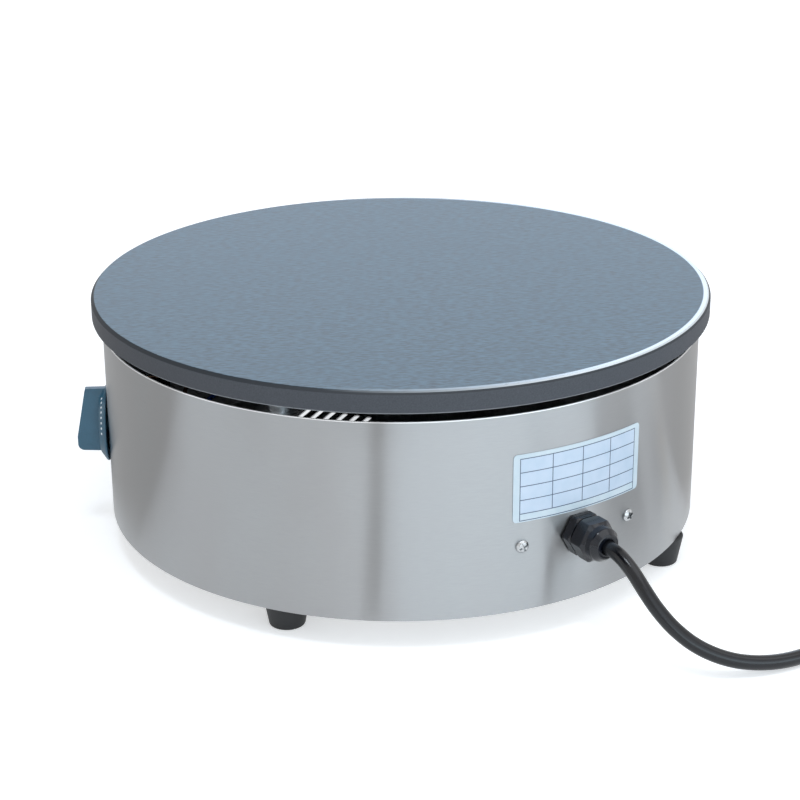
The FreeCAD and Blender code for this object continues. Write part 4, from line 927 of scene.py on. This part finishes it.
def pilot_lights():
    """Two moulded housings with a round bezel, and a clear domed lens set into each."""
    bezel_r, bezel_t, barrel_r, barrel_l = 6.5 * mm, 1.5 * mm, 4.9 * mm, 22 * mm
    r, h, gap = 4.5 * mm, 3.5 * mm, 0.02 * mm
    seat = bezel_t - 1 * mm
    outline = rounded([
        (0, -barrel_l), (barrel_r, -barrel_l, 0.5 * mm), (barrel_r, gap), (bezel_r, gap, 0.1 * mm),
        (bezel_r, bezel_t, 0.5 * mm), (r + gap, bezel_t, 0.2 * mm), (r + gap, seat - gap), (0, seat - gap),
    ])
    dome = rounded([
        (0, seat), (r, seat), (r, bezel_t + h * 0.62, 1.2 * mm), (r * 0.55, bezel_t + h * 0.97, 1.5 * mm),
        (0, bezel_t + h),
    ], 6)
    both = bmesh.new()
    for colour, az in pilot_azs.items():
        place = on_wall(drum_r, az, knob_back.z)
        housing = turned(outline, 96)
        housing.transform(place)
        both.from_mesh(housing)
        lens = put("pilot_dome_" + colour, turned(dome, 96), "lens_" + colour, place, 50)
        dressed(evened(lens), "housing", "lens_" + colour, "pilot_lens_" + colour)
    mesh = bpy.data.meshes.new("bezels")
    both.to_mesh(mesh)
    both.free()
    dressed(evened(put("pilot_bezels", mesh, "gland_plastic")), "housing", "gland_plastic", "pilot_housings")


# Cable gland


def cable_gland():
    """A rubber washer, the hexagonal body, and the hexagonal nut with its rounded dome."""
    flats = 24 * mm
    corner = flats / math.sqrt(3) * 0.985
    hole = 4.8 * mm
    spigot, body_top, nut_low = -9.6 * mm, 7.5 * mm, 8.5 * mm
    nut_top = nut_low + 11 * mm
    end = nut_top + 8 * mm
    dome = flats / 2 - 1 * mm
    place = on_wall(drum_r, gland_az, gland_z)
    thread_r, neck_r, neck_bore_r, neck_top = 10.2 * mm, 9.4 * mm, 5.2 * mm, nut_low + 8.5 * mm
    pad_in, pad_out, pad_low, pad_top = 10.3 * mm, 11.5 * mm, 0.03 * mm, 1 * mm
    seat = pad_top + 0.02 * mm
    washer = turned(rounded([
        (pad_in, pad_low), (pad_out, pad_low, 0.3 * mm), (pad_out, pad_top, 0.3 * mm), (pad_in, pad_top),
    ]), 96, closed=True)
    pad = put("gland_pad", washer, "gland_rubber", place)
    dressed(evened(pad), "housing", "gland_rubber", "gland_washer")
    hexagon = turned(rounded([
        (neck_bore_r, spigot), (thread_r, spigot, 0.4 * mm), (thread_r, seat), (corner, seat, 0.3 * mm),
        (corner, body_top - 1.2 * mm, 0.6 * mm), (corner - 1.4 * mm, body_top, 0.4 * mm),
        (neck_r, body_top), (neck_r, neck_top, 0.3 * mm), (neck_bore_r, neck_top),
    ]), 192, closed=True, flats=flats)
    flange = put("gland_flange", hexagon, "gland_plastic", place)
    dressed(evened(flange), "housing", "gland_plastic", "gland_body")
    bore_r, cup_r, bore_top, lip = 9.5 * mm, 8.5 * mm, nut_low + 8.7 * mm, 4 * mm
    capped = turned(rounded([
        (bore_r, nut_low), (corner - 1 * mm, nut_low, 0.3 * mm), (corner, nut_low + 1 * mm, 0.5 * mm),
        (corner, nut_top - 2 * mm, 0.8 * mm), (dome, nut_top, 0.4 * mm),
        (dome - 0.5 * mm, nut_top + 4.4 * mm, 2.6 * mm), (7.6 * mm, end, 1.4 * mm), (hole, end, 0.5 * mm),
        (hole, end - lip), (cup_r, end - lip), (cup_r, bore_top), (bore_r, bore_top),
    ], 6), 192, closed=True, flats=flats)
    nut = put("gland_dome_nut", capped, "gland_plastic", place)
    dressed(evened(nut), "housing", "gland_plastic", "gland_nut")


# Screws beside the gland


def bracket_screws():
    """Two pan-head screws with a cross recess."""
    r, h, shank, length = 4 * mm, 2.8 * mm, 2 * mm, 7.2 * mm
    head = turned(rounded([
        (0, -length), (shank, -length, 0.3 * mm), (shank, 0), (r, 0.02 * mm, 0.15 * mm),
        (r, 1.3 * mm, 0.9 * mm), (r * 0.62, h, 1.6 * mm), (0, h),
    ], 6), 64)
    one = put("one_screw", head, "stainless_screws")
    arm, thin, deep = 2.7 * mm, 1.25 * mm, 3.4 * mm
    cut(one, [block((2 * arm, thin, deep), (0, 0, h), 0.12 * mm, 2),
              block((thin, 2 * arm, deep), (0, 0, h), 0.12 * mm, 2)])
    one.data.transform(Matrix.Rotation(math.radians(24), 4, "Z"))
    evened(one)
    pair = grown("wall_screws", wall_pair_tree(), {
        "One": one, "Count": 2, "First": math.radians(gland_az - screw_half_angle),
        "Step": math.radians(2 * screw_half_angle), "Reach": drum_r, "Height": screw_z,
    }, "stainless_screws")
    bpy.data.objects.remove(one)
    dressed(pair, "housing", "stainless_screws", "bracket_screws")


# Rating label, left blank


def rating_label():
    """Film that follows the drum's wall, with rounded corners. Its outline is closed by a thin edge."""
    az, half_az = 120.3, 13.9
    low, high = 77.5 * mm, 120.5 * mm
    under, thick, corner = 0.15 * mm, 0.25 * mm, 2.5 * mm
    r_in = drum_r + under
    width = 2 * math.radians(half_az) * r_in
    finish["label_film"] = printed_label(width / mm, (high - low) / mm)
    near = [corner * (1 - math.cos(math.radians(15 * k))) for k in range(7)]
    spans = 60
    middle = [corner + (width - 2 * corner) * k / spans for k in range(1, spans)]
    columns = near + middle + [width - n for n in reversed(near)]
    rows = 12
    points, places, faces = [], [], []
    for skin in (r_in, r_in + thick):
        for u in columns:
            edge = min(u, width - u)
            drop = corner - math.sqrt(max(0.0, corner**2 - max(0.0, corner - edge) ** 2))
            for k in range(rows + 1):
                z = low + drop + (high - low - 2 * drop) * k / rows
                a = az - half_az + math.degrees(u / r_in)
                points.append(polar(skin, a, z))
                places.append((u / mm, (z - low) / mm))
    per = rows + 1
    size = len(columns) * per
    for c in range(len(columns) - 1):
        for k in range(rows):
            quad = (c * per + k, (c + 1) * per + k, (c + 1) * per + k + 1, c * per + k + 1)
            faces.append(quad)
            faces.append(tuple(size + q for q in quad))
        for k in (0, rows):
            a, b = c * per + k, (c + 1) * per + k
            faces.append((a, b, size + b, size + a))
    for c in (0, len(columns) - 1):
        for k in range(rows):
            a, b = c * per + k, c * per + k + 1
            faces.append((a, b, size + b, size + a))
    mesh = bpy.data.meshes.new("label")
    mesh.from_pydata(points, [], faces)
    outwards(mesh)
    uv = mesh.uv_layers.new(name="UVMap")
    for loop in mesh.loops:
        uv.data[loop.index].uv = places[loop.vertex_index]
    label = put("blank_label", mesh, "label_film")
    dressed(label, "housing", "label_film", "rating_label")


# Room: a pale floor and soft light


def shown_to_camera(tree):
    """1 for what the camera sees, straight, in a mirror or through glass."""
    path = add(tree, "ShaderNodeLightPath")
    seen = arithmetic(tree, "MAXIMUM", path.outputs["Is Camera Ray"], path.outputs["Is Glossy Ray"])
    return arithmetic(tree, "MAXIMUM", seen, path.outputs["Is Transmission Ray"])


def make_floor():
    """A matt white sheet. What is seen of it is lifted to white, and the object's shadow stays on it."""
    mesh = bpy.data.meshes.new("floor")
    half = 6.0
    corners = [(-half, -half, 0), (half, -half, 0), (half, half, 0), (-half, half, 0)]
    mesh.from_pydata(corners, [], [(0, 1, 2, 3)])
    floor = bpy.data.objects.new("floor", mesh)
    bpy.context.scene.collection.objects.link(floor)
    material, tree, shader = new_material("matt_white_paper", {
        "Base Color": paint("#f2f2f2"), "Roughness": 0.9, "Specular IOR Level": 0.1,
        "Emission Color": (1, 1, 1, 1),
    })
    lift = arithmetic(tree, "MULTIPLY", shown_to_camera(tree), 0.45)
    tree.links.new(lift, shader.inputs["Emission Strength"])
    mesh.materials.append(material)


def make_world():
    """A soft, faintly blue sky gives the light. What is seen of it, straight or in a mirror, is white."""
    world = bpy.data.worlds.new("studio")
    bpy.context.scene.world = world
    world.use_nodes = True
    tree = world.node_tree
    tree.nodes.clear()
    soft = add(tree, "ShaderNodeBackground", {"Color": (0.95, 0.98, 1.0, 1), "Strength": 0.6})
    white = add(tree, "ShaderNodeBackground", {"Color": (1, 1, 1, 1), "Strength": 1.0})
    choice = add(tree, "ShaderNodeMixShader", {
        0: shown_to_camera(tree), 1: soft.outputs[0], 2: white.outputs[0],
    })
    add(tree, "ShaderNodeOutputWorld", {"Surface": choice.outputs[0]})


def faced(az, elevation, distance):
    """A place on a sphere round the drum, turned to face it: local x is level and y points up."""
    e = math.radians(elevation)
    target = Vector((0, 0, 0.1))
    spot = polar(distance * math.cos(e), az, distance * math.sin(e)) + target
    return Matrix.Translation(spot) @ (target - spot).to_track_quat("-Z", "Y").to_matrix().to_4x4()


def soft_box(name, place, width, height, radiance, colour):
    """A rectangular lamp. The radiance is as seen from the front, where 1 is as bright as the background."""
    data = bpy.data.lights.new(name, "AREA")
    data.shape = "RECTANGLE"
    data.size = width
    data.size_y = height
    data.energy = radiance * math.pi * width * height
    data.color = paint(colour)[:3]
    lamp = bpy.data.objects.new(name, data)
    lamp.matrix_world = place
    bpy.context.scene.collection.objects.link(lamp)


def card(name, mesh, level):
    """A grey card, as is used to give steel its darker bands. Only reflections show it, as bright as level,
    where 1 is as bright as the background."""
    material = new_material("card_of_" + name, {
        "Base Color": (0, 0, 0, 1), "Specular IOR Level": 0.0, "Emission Color": (1, 1, 1, 1),
        "Emission Strength": level,
    })[0]
    mesh.materials.append(material)
    piece = bpy.data.objects.new(name, mesh)
    bpy.context.scene.collection.objects.link(piece)
    piece.visible_camera = False
    piece.visible_diffuse = False
    piece.visible_shadow = False


def standing_card(name, place, width, height, level):
    """A flat card in a place that faced gives."""
    mesh = bpy.data.meshes.new(name)
    x, y = width / 2, height / 2
    mesh.from_pydata([(-x, -y, 0), (x, -y, 0), (x, y, 0), (-x, y, 0)], [], [(0, 1, 2, 3)])
    mesh.transform(place)
    card(name, mesh, level)


def lying_card(name, az, spread, near, far, level):
    """A card on the floor, from one radius to another round an azimuth."""
    mesh = bpy.data.meshes.new(name)
    steps = 12
    across = steps + 1
    rim = [polar(r, az + spread * (k / steps - 0.5), 2 * mm) for r in (near, far) for k in range(across)]
    mesh.from_pydata(rim, [], [(k, k + 1, across + k + 1, across + k) for k in range(steps)])
    card(name, mesh, level)


def make_lights():
    """A broad bluish light behind the gland gives the steel its bright band, and grey cards its darker ends.
    A small bright window makes the highlights of the cord and the gland."""
    soft_box("band_light", faced(122.5, 10, 2.2), 3.26, 0.7, 1.9, "#d9f2ff")
    soft_box("wide_key", faced(122.5, 26, 2.6), 3.85, 1.2, 0.8, "#dceeff")
    soft_box("overhead", faced(150, 60, 2.2), 2.4, 1.1, 1.1, "#f4f9ff")
    soft_box("window", faced(68, 70, 2.2), 0.5, 0.4, 14.0, "#eaf4ff")
    soft_box("right_fill", faced(192, 12, 2.4), 1.0, 0.7, 0.8, "#eef6ff")
    soft_box("sky_behind", faced(266, 24, 2.6), 1.8, 1.3, 1.1, "#b4d8ff")
    standing_card("card_left", faced(-5, 52, 2.4), 3.0, 1.6, 0.02)
    slant = Matrix.Rotation(math.radians(40), 4, "Z")
    standing_card("card_front", faced(-42, 25, 2.4) @ slant, 2.2, 0.42, 0.12)
    standing_card("card_strip", faced(79, 20, 2.0), 0.17, 1.5, 0.65)
    lying_card("strip_low", 80, 4, 0.23, 1.2, 0.65)
    lying_card("left_low", -26, 76, 0.23, 1.2, 0.6)
    lying_card("right_low", 212, 64, 0.23, 1.2, 0.65)


# The object, put together

cord = mains_cord()
plug_pieces = plug()
tie = coil_tie()
griddle()
rubber_feet()
knob()
pilot_lights()
cable_gland()
bracket_screws()
rating_label()

slots = {part["node"]: part["material_slot"] for part in frame["record"]["subparts"]}
for name, node in frame["nodes"].items():
    node.data.materials.clear()
    node.data.materials.append(finish[slots[name]])

make_floor()
make_world()
make_lights()
bpy.context.scene.view_settings.view_transform = "Standard"
